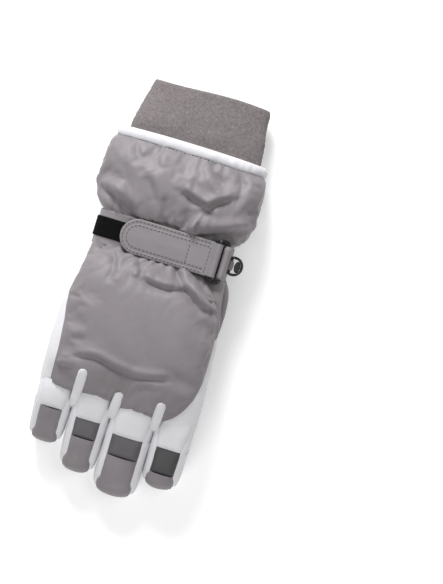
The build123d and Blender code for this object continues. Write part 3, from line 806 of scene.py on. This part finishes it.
def build_finger(name, x0, base_half, tip_half, half_height, white_end, dark_end, tip_length, tip_tilt):
    line, knuckle, bend = finger_line(name, x0, half_height, tip_length, tip_tilt)
    along = np.concatenate(([0], np.cumsum(np.linalg.norm(np.diff(line, axis=0), axis=1))))
    total = along[-1]
    centre = total - TIP_REACH
    axis = (bend - knuckle) / np.linalg.norm(bend - knuckle)

    def half(s):
        return base_half + (tip_half - base_half) * smooth(s, [0, 14, total], [0, 0.15, 1])

    def placed(u, s, z):
        """A point of the straight finger carried onto its bent middle line."""
        spot = np.stack([np.interp(s, along, line[:, i]) for i in range(2)], -1)
        ahead = np.stack([np.interp(s + 2, along, line[:, i]) for i in range(2)], -1)
        behind = np.stack([np.interp(s - 2, along, line[:, i]) for i in range(2)], -1)
        turn = ahead - behind
        turn /= np.linalg.norm(turn, axis=-1)[..., None]
        return np.stack((x0 + u, spot[..., 0] + z * turn[..., 1], spot[..., 1] - z * turn[..., 0]), -1)

    def straight(start_s, end_s, start_turn, end_turn):
        """A grid along the finger between two angles round it, each given as a function of the length."""
        columns = max(int(abs(end_turn(end_s) - start_turn(end_s)) * half_height / 0.9), 8)
        rows = []
        for s in np.linspace(start_s, end_s, max(int((end_s - start_s) / 0.9), 4)):
            shape = (tip_half, half_height, FINGER_SQUARE)
            angles = even_angles(start_turn(s), end_turn(s), shape, columns)
            x, z, _, _ = oval(angles, 1.0, half_height, FINGER_SQUARE)
            rows.append(placed(x * half(s), s + 0 * x, z))
        return np.array(rows)

    def round_tip(start_s, start_turn, end_turn, columns):
        """A grid that runs down the right side, round the tip and back up the left side. The turns are angles
        up from the side, on the straight part and at the very tip."""
        run = np.linspace(start_s, centre, max(int((centre - start_s) / 0.9), 3))
        fan = np.linspace(0, pi, 44)
        wide, far, _, _ = oval(fan, tip_half, TIP_REACH, TIP_SQUARE)
        wide = np.concatenate((half(run), wide[1:-1], -half(run[::-1])))
        reach = np.concatenate((0 * run, far[1:-1], 0 * run))
        middle = np.concatenate((run, np.full(len(fan) - 2, centre), run[::-1]))
        ahead = middle + reach * np.sin(np.concatenate((0 * run, fan[1:-1], 0 * run)))
        tipped = np.clip((ahead - (total - TURN_LENGTH)) / TURN_LENGTH, 0, 1)
        tipped = tipped * tipped * (3 - 2 * tipped)
        rows = []
        for w, r, m, k in zip(wide, reach, middle, tipped):
            start = start_turn[0] + (start_turn[1] - start_turn[0]) * k
            end = end_turn[0] + (end_turn[1] - end_turn[0]) * k
            square = FINGER_SQUARE + (TIP_ROUNDNESS - FINGER_SQUARE) * k
            angles = even_angles(start, end, (tip_half, half_height, square), columns)
            share, z, _, _ = oval(angles, 1.0, half_height, square)
            rows.append(placed(w * share, m + r * share, z))
        return np.array(rows)

    def back_length(y):
        """How far along the middle line the finger's back reaches a place along the glove."""
        s = np.linspace(0, centre, 300)
        tops = placed(0 * s, s, 0 * s + half_height)[:, 1]
        return float(np.interp(-y, -tops, s))

    def bends_at_knuckle(piece):
        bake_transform(piece)

    def bends_in_middle(piece):
        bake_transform(piece)

    def cloth(label, points, edges, material, slot, nodes, bends, crown=0.7, row_at=None):
        points, outward = swell_out(points, edges, crown, len(label))
        piece = grid_mesh(f"{name}_{label}", points, material)
        bends(piece)
        if nodes:
            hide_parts(*[f"{name}_{node}" for node in nodes])
        if row_at is not None:
            colour = WHITE_THREAD if material is WHITE else GRAY_THREAD
            row = stitches(
                f"{name}_{label}_thread", points[row_at], outward[row_at], colour, 1.8, 0.9, 0.2
            )
            bends(row)

    white_s = back_length(white_end)

    def back_seam(s):
        seen = np.interp(s, [SEAM_START, white_s], [STRIP_AT_KNUCKLE, STRIP_VISIBLE])
        return seam_angle((tip_half - seen) / tip_half, FINGER_SQUARE)

    def far_back_seam(s):
        return pi - back_seam(s)

    def front_seam(_s):
        return -seam_angle((tip_half - FRONT_STRIP) / tip_half, FINGER_SQUARE)

    def far_front_seam(s):
        return pi - front_seam(s)

    def round_front_seam(s):
        return 2 * pi + front_seam(s)

    back = back_seam(white_s)
    front = -front_seam(white_s)
    cap_s = white_s if dark_end is None else back_length(dark_end)
    sides = ["start", "end"]
    ends = ["start", "end", "front"]
    cloth("knuckle", straight(0.5, white_s, back_seam, far_back_seam), ends, WHITE, "white_nylon",
          ["knuckle_panel", "base_lining"], bends_at_knuckle, 0.3, -2)
    cloth("base_left", straight(0.5, white_s, far_back_seam, far_front_seam), sides, WHITE, "white_nylon",
          ["base_sides"], bends_at_knuckle, 0.3)
    cloth("base_right", straight(0.5, white_s, front_seam, back_seam), sides, WHITE, "white_nylon",
          [], bends_at_knuckle, 0.3)
    cloth("base_front", straight(0.5, white_s, far_front_seam, round_front_seam), sides, GRAY, "gray_nylon",
          ["base_front"], bends_at_knuckle)
    if dark_end is not None:
        cloth("band", straight(white_s, cap_s, back_seam, far_back_seam), ends + ["back"],
              DEEP if name == "index" else DARK, "dark_nylon", ["band"], bends_in_middle, 0.4)
    cloth("cap", round_tip(cap_s, (back, CAP_TURN), (pi / 2, pi / 2), 22), ["start"], GRAY, "gray_nylon",
          ["cap"], bends_in_middle)
    cloth("tip_strip", round_tip(white_s, (-front, STRIP_TURN), (back, CAP_TURN), 16), sides, WHITE,
          "white_nylon", ["tip_sides", "tip_lining"], bends_in_middle, 0.6)
    cloth("tip_front", round_tip(white_s, (-pi / 2, -pi / 2), (-front, STRIP_TURN), 22), ["end"], GRAY,
          "gray_nylon", ["tip_front"], bends_in_middle)


# ---------------------------------------------------------------- thumb
# Place along, middle x and z, half width, half height.
THUMB = [
    (27.0, 38.5, 22.0, 9.0, 9.5),
    (16.0, 38.5, 17.0, 14.5, 11.5),
    (4.0, 37.5, 12.4, 18.0, 10.2),
    (-8.0, 36.4, 9.8, 19.4, 9.2),
    (-26.0, 34.7, 9.3, 20.0, 8.9),
    (-41.0, 33.7, 9.2, 20.2, 8.9),
    (-60.0, 32.4, 9.2, 19.6, 8.8),
    (-76.0, 31.3, 9.0, 18.6, 8.8),
]
THUMB_END = -76.0
THUMB_SPLIT = -27.0
THUMB_SQUARE = 2.5


def thumb_surface(y, angle):
    y = np.asarray(y, float)
    columns = [np.array(c) for c in zip(*reversed(THUMB))]
    x0, z0, wide, high = [smooth(y, columns[0], c) for c in columns[1:]]
    left = y - THUMB_END
    share = np.clip(left / 17.0, 0, 1)
    wide = wide * (np.sqrt(1 - (1 - share) ** 2) + 1e-3)
    share = np.clip(left / 9.0, 0, 1)
    high = high * (np.sqrt(1 - (1 - share) ** 2) + 1e-3)
    x, z, nx, nz = oval(angle, wide, high, THUMB_SQUARE)
    return np.stack((x0 + x, y + 0 * x, z0 + z), -1), np.stack((nx, 0 * nx, nz), -1)


def build_thumb():
    spans = [
        ("base", 26.5, THUMB_SPLIT, "hand", "thumb_base", 10.0, -20.0),
        ("tip", THUMB_SPLIT, THUMB_END + 0.02, "thumb_base", "thumb_tip", -33.0, -49.0),
    ]
    folds = [
        ([(20, -36), (33, -40), (46, -36)], 1.2, 3.0, 1),
        ([(20, -12), (32, -4), (46, -7)], 1.0, 3.0, -1),
    ]
    for label, start, end, first, second, from_y, to_y in spans:
        for half, turns in (("under", (pi, 2 * pi)), ("upper", (0, pi))):
            rows = int(abs(end - start) / 1.0)
            steps = np.linspace(0, 1, rows)
            if label == "tip":
                steps = np.sin(steps * pi / 2)
            ys = start + (end - start) * steps
            angles = even_angles(*turns, (19, 9, THUMB_SQUARE), 54)
            points, outward = thumb_surface(ys[:, None] + 0 * angles[None], angles[None] + 0 * ys[:, None])
            points = sewn(points, outward, ["start", "end"], crown=0.3)
            points = folded(points, outward, folds)
            piece = grid_mesh(f"thumb_{label}_{half}", points, GRAY)
            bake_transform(piece)
            if half == "under":
                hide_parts(f"thumb_{label}_shell", f"thumb_{label}_lining")


# ---------------------------------------------------------------- gauntlet and cuff
def shirring(points, outward):
    """Rows of elastic that gather the palm side of the wrist into short puckers."""
    x, y = points[..., 0], points[..., 1]
    band = np.exp(-(((y - 41) / 14) ** 4))
    wander = waves(points, 13, 3) * 5 + waves(points, 30, 5) * 6
    ripple = np.sin((x + wander) * 2 * pi / 7.5) + 0.5 * np.sin((x - 0.4 * y + wander) * 2 * pi / 4.6)
    rows = sum(np.exp(-(((y - row) / 1.7) ** 2)) for row in SHIRR_ROWS)
    rise = band * (1.25 * ripple * (1 - 0.55 * rows) - 1.1 * rows)
    return points + outward * rise[..., None]


def build_gauntlet():
    points, outward = panel(GAUNTLET_START, GAUNTLET_END, lambda y: 0.0, side_angle, 104)
    base = points
    points = stitched = sewn(points, outward, ["start", "end", "front"], crown=1.0)
    points = simulated(points, 0.045, 4)
    points = folded(points, outward, GAUNTLET_FOLDS)
    points = gathered(points, outward, 48.0, 1, 0.9, 6)
    points = gathered(points, outward, 98.0, -1, 0.35, 11)
    points = held_at_seams(not_deeper(points, base, outward), stitched)
    piece = grid_mesh("gauntlet_back_cloth", points, GRAY)
    wrist_blend(piece)
    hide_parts("gauntlet_back", "gauntlet_wadding")

    points, outward = panel(PALM_JOIN, GAUNTLET_END, side_angle, lambda y: 2 * pi, 104)
    points = stitched = sewn(points, outward, ["start", "end", "front"], crown=0.8)
    points = simulated(points, 0.03, 2)
    points = held_at_seams(shirring(points, outward), stitched)
    piece = grid_mesh("gauntlet_palm_cloth", points, GRAY)
    wrist_blend(piece)
    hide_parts("gauntlet_palm", "wrist_elastics")


def build_binding():
    """A puffy white roll round the gauntlet's end, with a stitched lower edge."""
    x0, z0, a, b, n = -0.5, 19.0, 52.4, 15.6, 3.0
    around = even_angles(0, 2 * pi, (a, b, n), 261)[:-1]
    x, z, nx, nz = oval(around, a, b, n)
    turn = np.linspace(0, 2 * pi, 28, endpoint=False)
    pucker = 1 + 0.05 * np.sin(around * 41) + 0.05 * np.sin(around * 23 + 1)
    points = np.zeros((len(turn), len(around), 3))
    for t, phi in enumerate(turn):
        out = 3.1 * cos(phi) * pucker
        out = out - 0.5 * np.exp(-(((phi - 4.4) / 0.35) ** 2))
        y = 102.4 + 4.15 * sin(phi) + 1.1 * (1 - (x / 55) ** 2) * (nz > 0)
        points[t] = np.stack((x0 + x + nx * out, y, z0 + z + nz * out), 1)
    points = np.concatenate((points, points[:1]), 0)
    piece = grid_mesh("binding_roll", points, BINDING_WHITE, ring=True)
    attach(piece, "gauntlet")
    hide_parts("edge_binding")
    low = np.argmin(np.abs(turn - 5.2))
    line = points[low]
    outward = np.stack((nx, 0 * nx - 0.6, nz), 1)
    row = stitches("binding_thread", line, outward, WHITE_THREAD, 1.9, 1.0, 0.22)
    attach(row, "gauntlet")


# Place along, middle x and z, half width, half height of the fleece cuff's outside.
CUFF = [
    (72.0, 0.0, 20.0, 46.0, 11.8),
    (104.0, 0.2, 18.0, 48.6, 11.6),
    (112.0, 0.2, 17.2, 48.2, 11.6),
    (130.0, 0.9, 14.8, 45.2, 10.4),
    (143.0, 1.4, 13.2, 43.2, 9.4),
    (147.5, 1.5, 13.0, 42.6, 8.9),
]
CUFF_END = 146.6
CUFF_WALL = 3.0


def build_cuff():
    columns = [np.array(c) for c in zip(*CUFF)]
    outside = [(y, 0.0) for y in np.arange(73, CUFF_END - 1.6, 1.3)]
    rim = [
        (CUFF_END - CUFF_WALL / 2 + CUFF_WALL / 2 * sin(t), CUFF_WALL / 2 * (1 - cos(t)))
        for t in np.linspace(0.2, pi - 0.2, 9)
    ]
    inside = [(y, CUFF_WALL) for y in np.arange(CUFF_END - 3, 76, -2.0)]
    profile = outside + rim + inside
    square = 3.0
    points = np.zeros((len(profile), 230, 3))
    outward = np.zeros(points.shape)
    for r, (y, depth) in enumerate(profile):
        x0, z0, a, b = [float(smooth(y, columns[0], c)) for c in columns[1:]]
        angles = even_angles(0, 2 * pi, (a, b, square), 231)[:-1]
        x, z, nx, nz = oval(angles, a, b, square)
        sag = 0.9 * np.sin(x / 15 + 1.3) * (nz > 0) * np.clip((y - 108) / 30, 0, 1)
        edge = 1.1 * np.sin(x / 17 + 0.4) * np.clip((y - 125) / 20, 0, 1)
        points[r] = np.stack((x0 + x - nx * depth, y + edge, z0 + z - nz * depth + sag), 1)
        outward[r] = np.stack((nx, 0 * nx, nz), 1)
    points += outward * (waves(points, 2.6, 9) * 0.42 + waves(points, 12, 4) * 0.6)[..., None]
    piece = grid_mesh("fleece_sleeve", points, FLEECE, ring=True)
    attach(piece, "gauntlet")
    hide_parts("fleece_cuff")


# ---------------------------------------------------------------- strap, buckle and clip
def wrist_band(name, low_y, high_y, start, end, lift, thick, material):
    """A closed strip wrapped round the wrist between two angles."""
    _, _, a, b, n = section(STRAP_MIDDLE)
    x0, z0 = -1.0, 24.0
    angles = even_angles(start, end, (a, b, n), 90)
    x, z, nx, nz = oval(angles, a, b, n)
    half = thick / 2
    profile = []
    for y, depth in ((low_y + half, -half), (low_y, 0), (low_y + half, half)):
        profile.append((y, depth))
    profile += [(low_y + 2.0, half + 0.12), (low_y + 3.0, half - 0.1)]
    profile += [(y, half) for y in np.linspace(low_y + 4, high_y - 4, 8)]
    profile += [(high_y - 3.0, half - 0.1), (high_y - 2.0, half + 0.12)]
    for y, depth in ((high_y - half, half), (high_y, 0), (high_y - half, -half)):
        profile.append((y, depth))
    points = np.zeros((len(profile), len(angles), 3))
    for r, (y, depth) in enumerate(profile):
        out = lift + half + depth
        points[r] = np.stack((x0 + x + nx * out, 0 * x + y, z0 + z + nz * out), 1)
    points = np.concatenate((points, points[:1]), 0)
    return grid_mesh(name, points, material), points


def build_lower_strap():
    piece, points = wrist_band(
        "strap_lower_web", STRAP_LOW, STRAP_HIGH, radians(40), radians(186), 0.3, 1.3, STRAP_CLOTH
    )
    on_hand(piece, "gray_webbing", "strap_lower")
    piece, points = wrist_band("loop_tape_pile", 26.4, 40.7, radians(86), radians(180), 1.7, 0.9, TAPE)
    on_hand(piece, "black_tape", "loop_tape")


TAB_LEFT, TAB_RIGHT = -32.0, 40.3
TAB_HALF = 12.6
TAB_BOTTOM, TAB_TOP = 42.66, 44.45
BAR_X, BAR_Z = 37.5, 43.55
TAB_LOOP = 2.8


def tab_half(x):
    """Half the tab's width at a place across the glove: a round end on the left."""
    middle = TAB_LEFT + TAB_HALF
    reach = np.clip((middle - x) / TAB_HALF, 0, 1)
    return TAB_HALF * np.sqrt(1 - reach**2) - 0.6 * np.clip((x - 33) / 2, 0, 1)


def tab_inset(x, y):
    """Distance in from the tab's edge, without its right end."""
    middle = TAB_LEFT + TAB_HALF
    round_end = TAB_HALF - np.hypot(np.minimum(x - middle, 0), y)
    return np.minimum(round_end, tab_half(np.maximum(x, middle)) - np.abs(y))


def tab_heights(x, y):
    """Top and bottom of the tab at a point."""
    inset = np.clip(tab_inset(x, y), 0, None)
    edge = 0.8 * (1 - np.sqrt(1 - (1 - np.clip(inset / 0.8, 0, 1)) ** 2))
    groove = 0.3 * np.exp(-(((inset - 3.1) / 0.5) ** 2)) * (x < 33)
    groove += 0.28 * np.exp(-(((x - 18.5) / 0.5) ** 2)) * (inset > 3)
    swell = 0.5 * np.clip(inset / TAB_HALF, 0, 1) * np.clip((34 - x) / 20, 0, 1)
    top = TAB_TOP - edge - groove + swell
    bottom = TAB_BOTTOM + edge * 0.8 + 0 * x
    round_bar = np.sqrt(np.clip(TAB_LOOP**2 - (x - BAR_X) ** 2, 0, None))
    top = np.where(x > 33.5, np.maximum(top - 0.08 * (x - 33.5) ** 2, BAR_Z + round_bar), top)
    bottom = np.where(x > 33.5, np.minimum(bottom + 0.08 * (x - 33.5) ** 2, BAR_Z - round_bar), bottom)
    return top, bottom


def build_tab():
    middle = TAB_LEFT + TAB_HALF
    round_end = middle - TAB_HALF * np.cos(np.linspace(0.02, pi / 2, 26))
    xs = np.concatenate((round_end, np.linspace(middle, 33, 46)[1:], np.linspace(33, 40.28, 30)[1:]))
    across = np.sin(np.linspace(-pi / 2, pi / 2, 49))
    x = xs[:, None] + 0 * across[None]
    y = tab_half(xs)[:, None] * across[None]
    top, bottom = tab_heights(x, y)
    upper = np.stack((x, STRAP_MIDDLE + y, top), -1)
    lower = np.stack((x, STRAP_MIDDLE + y, bottom), -1)[:, ::-1]
    loop = np.concatenate((upper, lower), 1)
    piece = grid_mesh("strap_tab_cloth", loop, STRAP_CLOTH, ring=True)
    rides_tab = [(piece, "gray_webbing")]
    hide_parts("strap_tab")
    for inset, label in ((1.7, "outer"), (4.6, "inner")):
        radius = TAB_HALF - inset
        end = 31.5
        straight = np.linspace(end, middle, 60)
        turn = np.linspace(pi / 2, 3 * pi / 2, 40)
        line_x = np.concatenate((straight, middle + radius * np.cos(turn), straight[::-1]))
        line_y = np.concatenate((0 * straight + radius, radius * np.sin(turn), 0 * straight - radius))
        line_z = tab_heights(line_x, line_y)[0]
        line = np.stack((line_x, STRAP_MIDDLE + line_y, line_z), 1)
        up = np.tile((0.0, 0.0, 1.0), (len(line), 1))
        rides_tab.append((stitches(f"tab_thread_{label}", line, up, TAB_THREAD, 2.0, 0.8, 0.24), "gray_webbing"))
    for place in (17.2, 32.0):
        ys = np.linspace(-8, 8, 30) if place < 30 else np.linspace(-11, 11, 30)
        line = np.stack((0 * ys + place, STRAP_MIDDLE + ys, tab_heights(0 * ys + place, ys)[0]), 1)
        up = np.tile((0.0, 0.0, 1.0), (len(line), 1))
        name = "tab_thread_cross" if place < 30 else "tab_thread_end"
        rides_tab.append((stitches(name, line, up, TAB_THREAD, 2.0, 0.8, 0.24), "gray_webbing"))
    for thing, slot in rides_tab:
        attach(thing, "tab")


HOOK_PITCH = 1.5  # distance between the rows of hooks
HOOK_RISE = 0.12


def build_hook_tape():
    """The stiff hook side of the fastener under the tab: a flat strip with rounded corners and rows of hooks."""
    low, high = [np.array(corner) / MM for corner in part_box("hook_tape")]
    middle, half = (low + high) / 2, (high - low) / 2
    across = np.sin(np.linspace(-pi / 2, pi / 2, 61))
    x = half[0] * np.sin(np.linspace(-pi / 2, pi / 2, 141))
    corner = np.clip((np.abs(x) - half[0] + 2.0) / 2.0, 0, 1)
    wide = half[1] - 2.0 * (1 - np.sqrt(1 - corner**2))
    xs = x[:, None] + 0 * across[None]
    ys = wide[:, None] * across[None]
    inset = np.minimum(half[0] - np.abs(xs), wide[:, None] - np.abs(ys))
    edge = half[2] * (1 - np.sqrt(1 - (1 - np.clip(inset / half[2], 0, 1)) ** 2))
    hooks = HOOK_RISE * (np.sin(xs * 2 * pi / HOOK_PITCH) * np.sin(ys * 2 * pi / HOOK_PITCH) - 1)
    hooks = hooks * np.clip((inset - 1) / 1, 0, 1)
    upper = np.stack((middle[0] + xs, middle[1] + ys, high[2] - edge), -1)
    lower = np.stack((middle[0] + xs, middle[1] + ys, low[2] + edge - hooks), -1)[:, ::-1]
    piece = grid_mesh("hook_tape_strip", np.concatenate((upper, lower), 1), TAPE, ring=True)
    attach(piece, "tab")
    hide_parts("hook_tape")


ANCHOR_X, ANCHOR_Z = 44.2, 40.0
ANCHOR_RADIUS = 3.1
CLIP_X, CLIP_Z, CLIP_TILT = 48.9, 30.5, 20.0


def build_anchor():
    """A fabric loop round the buckle's far bar, running down the side of the wrist, with the clip's keeper."""
    half = 12.0
    ys = np.concatenate((
        STRAP_MIDDLE - half + 0.5 * (1 - np.cos(np.linspace(0, pi / 2, 4))),
        np.linspace(STRAP_MIDDLE - half + 0.8, STRAP_MIDDLE + half - 0.8, 20),
        STRAP_MIDDLE + half - 0.5 * np.cos(np.linspace(0, pi / 2, 4))[::-1] * 0.6,
    ))
    grow = np.ones(len(ys))
    grow[:4] = 0.72 + 0.28 * np.sin(np.linspace(0, pi / 2, 4))
    grow[-4:] = grow[:4][::-1]
    ys = np.linspace(STRAP_MIDDLE - half, STRAP_MIDDLE + half, len(ys))
    around = np.linspace(0, 2 * pi, 36, endpoint=False)
    radius = ANCHOR_RADIUS * grow[:, None] * (1 + 0.03 * np.sin(around * 5)[None])
    x = ANCHOR_X + radius * np.cos(around)[None]
    z = ANCHOR_Z + radius * np.sin(around)[None]
    y = ys[:, None] + 0 * around[None]
    tube = np.stack((x, y, z), -1)
    caps = [tube[:1].copy(), tube[-1:].copy()]
    for cap in caps:
        cap[..., 0] = ANCHOR_X + (cap[..., 0] - ANCHOR_X) * 0.55
        cap[..., 2] = ANCHOR_Z + (cap[..., 2] - ANCHOR_Z) * 0.55
    tube = np.concatenate((caps[0], tube, caps[1]), 0)
    loop = grid_mesh("anchor_tube", tube, STRAP_CLOTH, ring=True)
    band, _ = wrist_band("anchor_band", STRAP_LOW + 0.7, STRAP_HIGH - 0.7, radians(-14), radians(30), 0.3, 1.3,
                         STRAP_CLOTH)
    neck_x = np.linspace(-1.3, 1.3, 8)
    heights = np.linspace(ANCHOR_Z - 5.2, ANCHOR_Z, 8)
    neck = np.stack([
        np.stack((ANCHOR_X - 0.3 + 1.3 * np.cos(around), STRAP_MIDDLE + 11.3 * np.sin(around), 0 * around + h), 1)
        for h in heights
    ])
    web = grid_mesh("anchor_neck", neck, STRAP_CLOTH, ring=True)
    keeper_line = [
        (CLIP_X - 1.2 + 2.1 * cos(t), STRAP_MIDDLE, CLIP_Z + 2.1 * sin(t)) for t in np.linspace(-2.6, 2.6, 24)
    ]
    keeper = swept_tube("keeper", keeper_line, 3.2, STRAP_CLOTH, flat=1.0)
    flat_keeper = keeper.data
    for v in flat_keeper.vertices:
        v.co.y = (STRAP_MIDDLE + (v.co.y / MM - STRAP_MIDDLE) * 1.05) * MM
        dx, dz = v.co.x / MM - CLIP_X, v.co.z / MM - CLIP_Z
        far = np.hypot(dx, dz) + 1e-6
        wanted = 1.75 + 0.18 * (far - 2.1)
        v.co.x = (CLIP_X + dx / far * wanted) * MM
        v.co.z = (CLIP_Z + dz / far * wanted) * MM
    piece = join_pieces("anchor_web", [loop, band, web, keeper])
    on_hand(piece, "gray_webbing", "anchor_loop")


def build_clip():
    """A D-shaped plastic clip: a bar, a round rim and a thin tongue inside it."""
    tilt = radians(CLIP_TILT)

    def placed(x, y, up=0.0):
        return (
            CLIP_X + x * cos(tilt) + up * sin(tilt), STRAP_MIDDLE + y, CLIP_Z - x * sin(tilt) + up * cos(tilt)
        )

    turn = np.linspace(-pi / 2, pi / 2, 30)
    outline = [(0.0, 6.1), (0.0, 3.0), (0.0, 0.0), (0.0, -3.0), (0.0, -6.1)]
    outline += [(1.2, -6.1)]
    outline += [(2.5 + 6.1 * cos(t), 6.1 * sin(t)) for t in turn]
    outline += [(1.2, 6.1)]
    rim = swept_tube("clip_rim", [placed(x, y) for x, y in outline], 1.0, PLASTIC, closed=True, sides=14)
    tongue_points = []
    for share in (0.02, 0.35, 0.7, 0.93, 1.0, 0.93, 0.7, 0.35, 0.02):
        tongue_points.append(share)
    rows = []
    for k, share in enumerate(tongue_points):
        up = 0.5 * (1 if k < 4 else -1) if k != 4 else 0.0
        ring = []
        for t in np.linspace(0, 2 * pi, 40, endpoint=False):
            x = 5.0 + 2.3 * share * cos(t)
            y = 4.1 * share * sin(t)
            ring.append(placed(x, y, up))
        rows.append(ring)
    tongue = grid_mesh("clip_tongue", np.array(rows), PLASTIC, ring=True)
    bridge = swept_tube("clip_bridge", [placed(x, 0.0) for x in np.linspace(7.0, 8.6, 4)], 0.7, PLASTIC)
    piece = join_pieces("clip_moulding", [rim, tongue, bridge])
    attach(piece, "clip")
    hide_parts("pair_clip")


# ---------------------------------------------------------------- CAD pieces that stay
def dress_cad_nodes():
    """Gives every CAD node a procedural material, by the record's slots."""
    by_slot = {
        "gray_nylon": GRAY, "white_nylon": WHITE, "dark_nylon": DARK, "gray_webbing": STRAP_CLOTH,
        "palm_grip": GRIP, "fleece": FLEECE, "padding": PADDING, "lining": LINING, "elastic": ELASTIC,
        "black_tape": TAPE, "black_plastic": PLASTIC,
    }
    slots = {s["node"]: s["material_slot"] for s in frame["record"]["subparts"]}
    for name, node in frame["nodes"].items():
        node.data.materials.clear()
        node.data.materials.append(by_slot[slots[name]])


# ---------------------------------------------------------------- floor, light and camera
def stage():
    material = bpy.data.materials.new("floor")
    material.use_nodes = True
    shader = material.node_tree.nodes["Principled BSDF"]
    shader.inputs["Base Color"].default_value = (0.93, 0.93, 0.935, 1)
    shader.inputs["Roughness"].default_value = 0.9
    shader.inputs["Specular IOR Level"].default_value = 0.1
    shader.inputs["Emission Color"].default_value = (1, 1, 1, 1)
    shader.inputs["Emission Strength"].default_value = 0.25
    bpy.ops.mesh.primitive_plane_add(size=6)
    floor = bpy.context.object
    floor.name = "floor"
    floor.data.materials.append(material)


def area_light(name, place, size, power, aim=(0, 0, 0.02)):
    data = bpy.data.lights.new(name, "AREA")
    data.shape = "DISK"
    data.size = size
    data.energy = power
    lamp = bpy.data.objects.new(name, data)
    lamp.location = place
    bpy.context.scene.collection.objects.link(lamp)
    from mathutils import Vector
    lamp.rotation_euler = (Vector(aim) - Vector(place)).to_track_quat("-Z", "Y").to_euler()


def lights():
    area_light("key", (-0.45, 1.08, 0.66), 0.5, 20)
    area_light("fill", (0.6, 0.3, 1.3), 0.8, 4)
    area_light("low", (-0.2, -1.0, 0.95), 0.7, 7)
    world = bpy.data.worlds.new("studio")
    world.use_nodes = True
    world.node_tree.nodes["Background"].inputs["Color"].default_value = (1, 1, 1, 1)
    world.node_tree.nodes["Background"].inputs["Strength"].default_value = 0.27
    bpy.context.scene.world = world


CAMERA_ROLL = 17.0
CAMERA_HEIGHT = 1.8
VIEW_WIDTH = 0.3119  # metres across the view at the glove
VIEW_CENTRE = (0.0482, 0.0137)
GLOVE_LEVEL = 0.038


def camera():
    data = bpy.data.cameras.new("camera")
    data.sensor_fit = "HORIZONTAL"
    data.lens = data.sensor_width * (CAMERA_HEIGHT - GLOVE_LEVEL) / VIEW_WIDTH
    data.clip_end = 20
    eye = bpy.data.objects.new("camera", data)
    eye.location = (*VIEW_CENTRE, CAMERA_HEIGHT)
    eye.rotation_euler = (0, 0, radians(CAMERA_ROLL))
    bpy.context.scene.collection.objects.link(eye)
    bpy.context.scene.camera = eye


# ---------------------------------------------------------------- all of it
dress_cad_nodes()
hand_cloth = back_of_hand()
hand_sides()
palm_panels()
crotch_tongues(hand_cloth)
for finger in FINGERS:
    build_finger(*finger)
build_thumb()
build_gauntlet()
build_binding()
build_cuff()
build_lower_strap()
build_tab()
build_hook_tape()
build_anchor()
build_clip()
stage()
lights()
camera()
scene = bpy.context.scene
scene.view_settings.view_transform = "Standard"
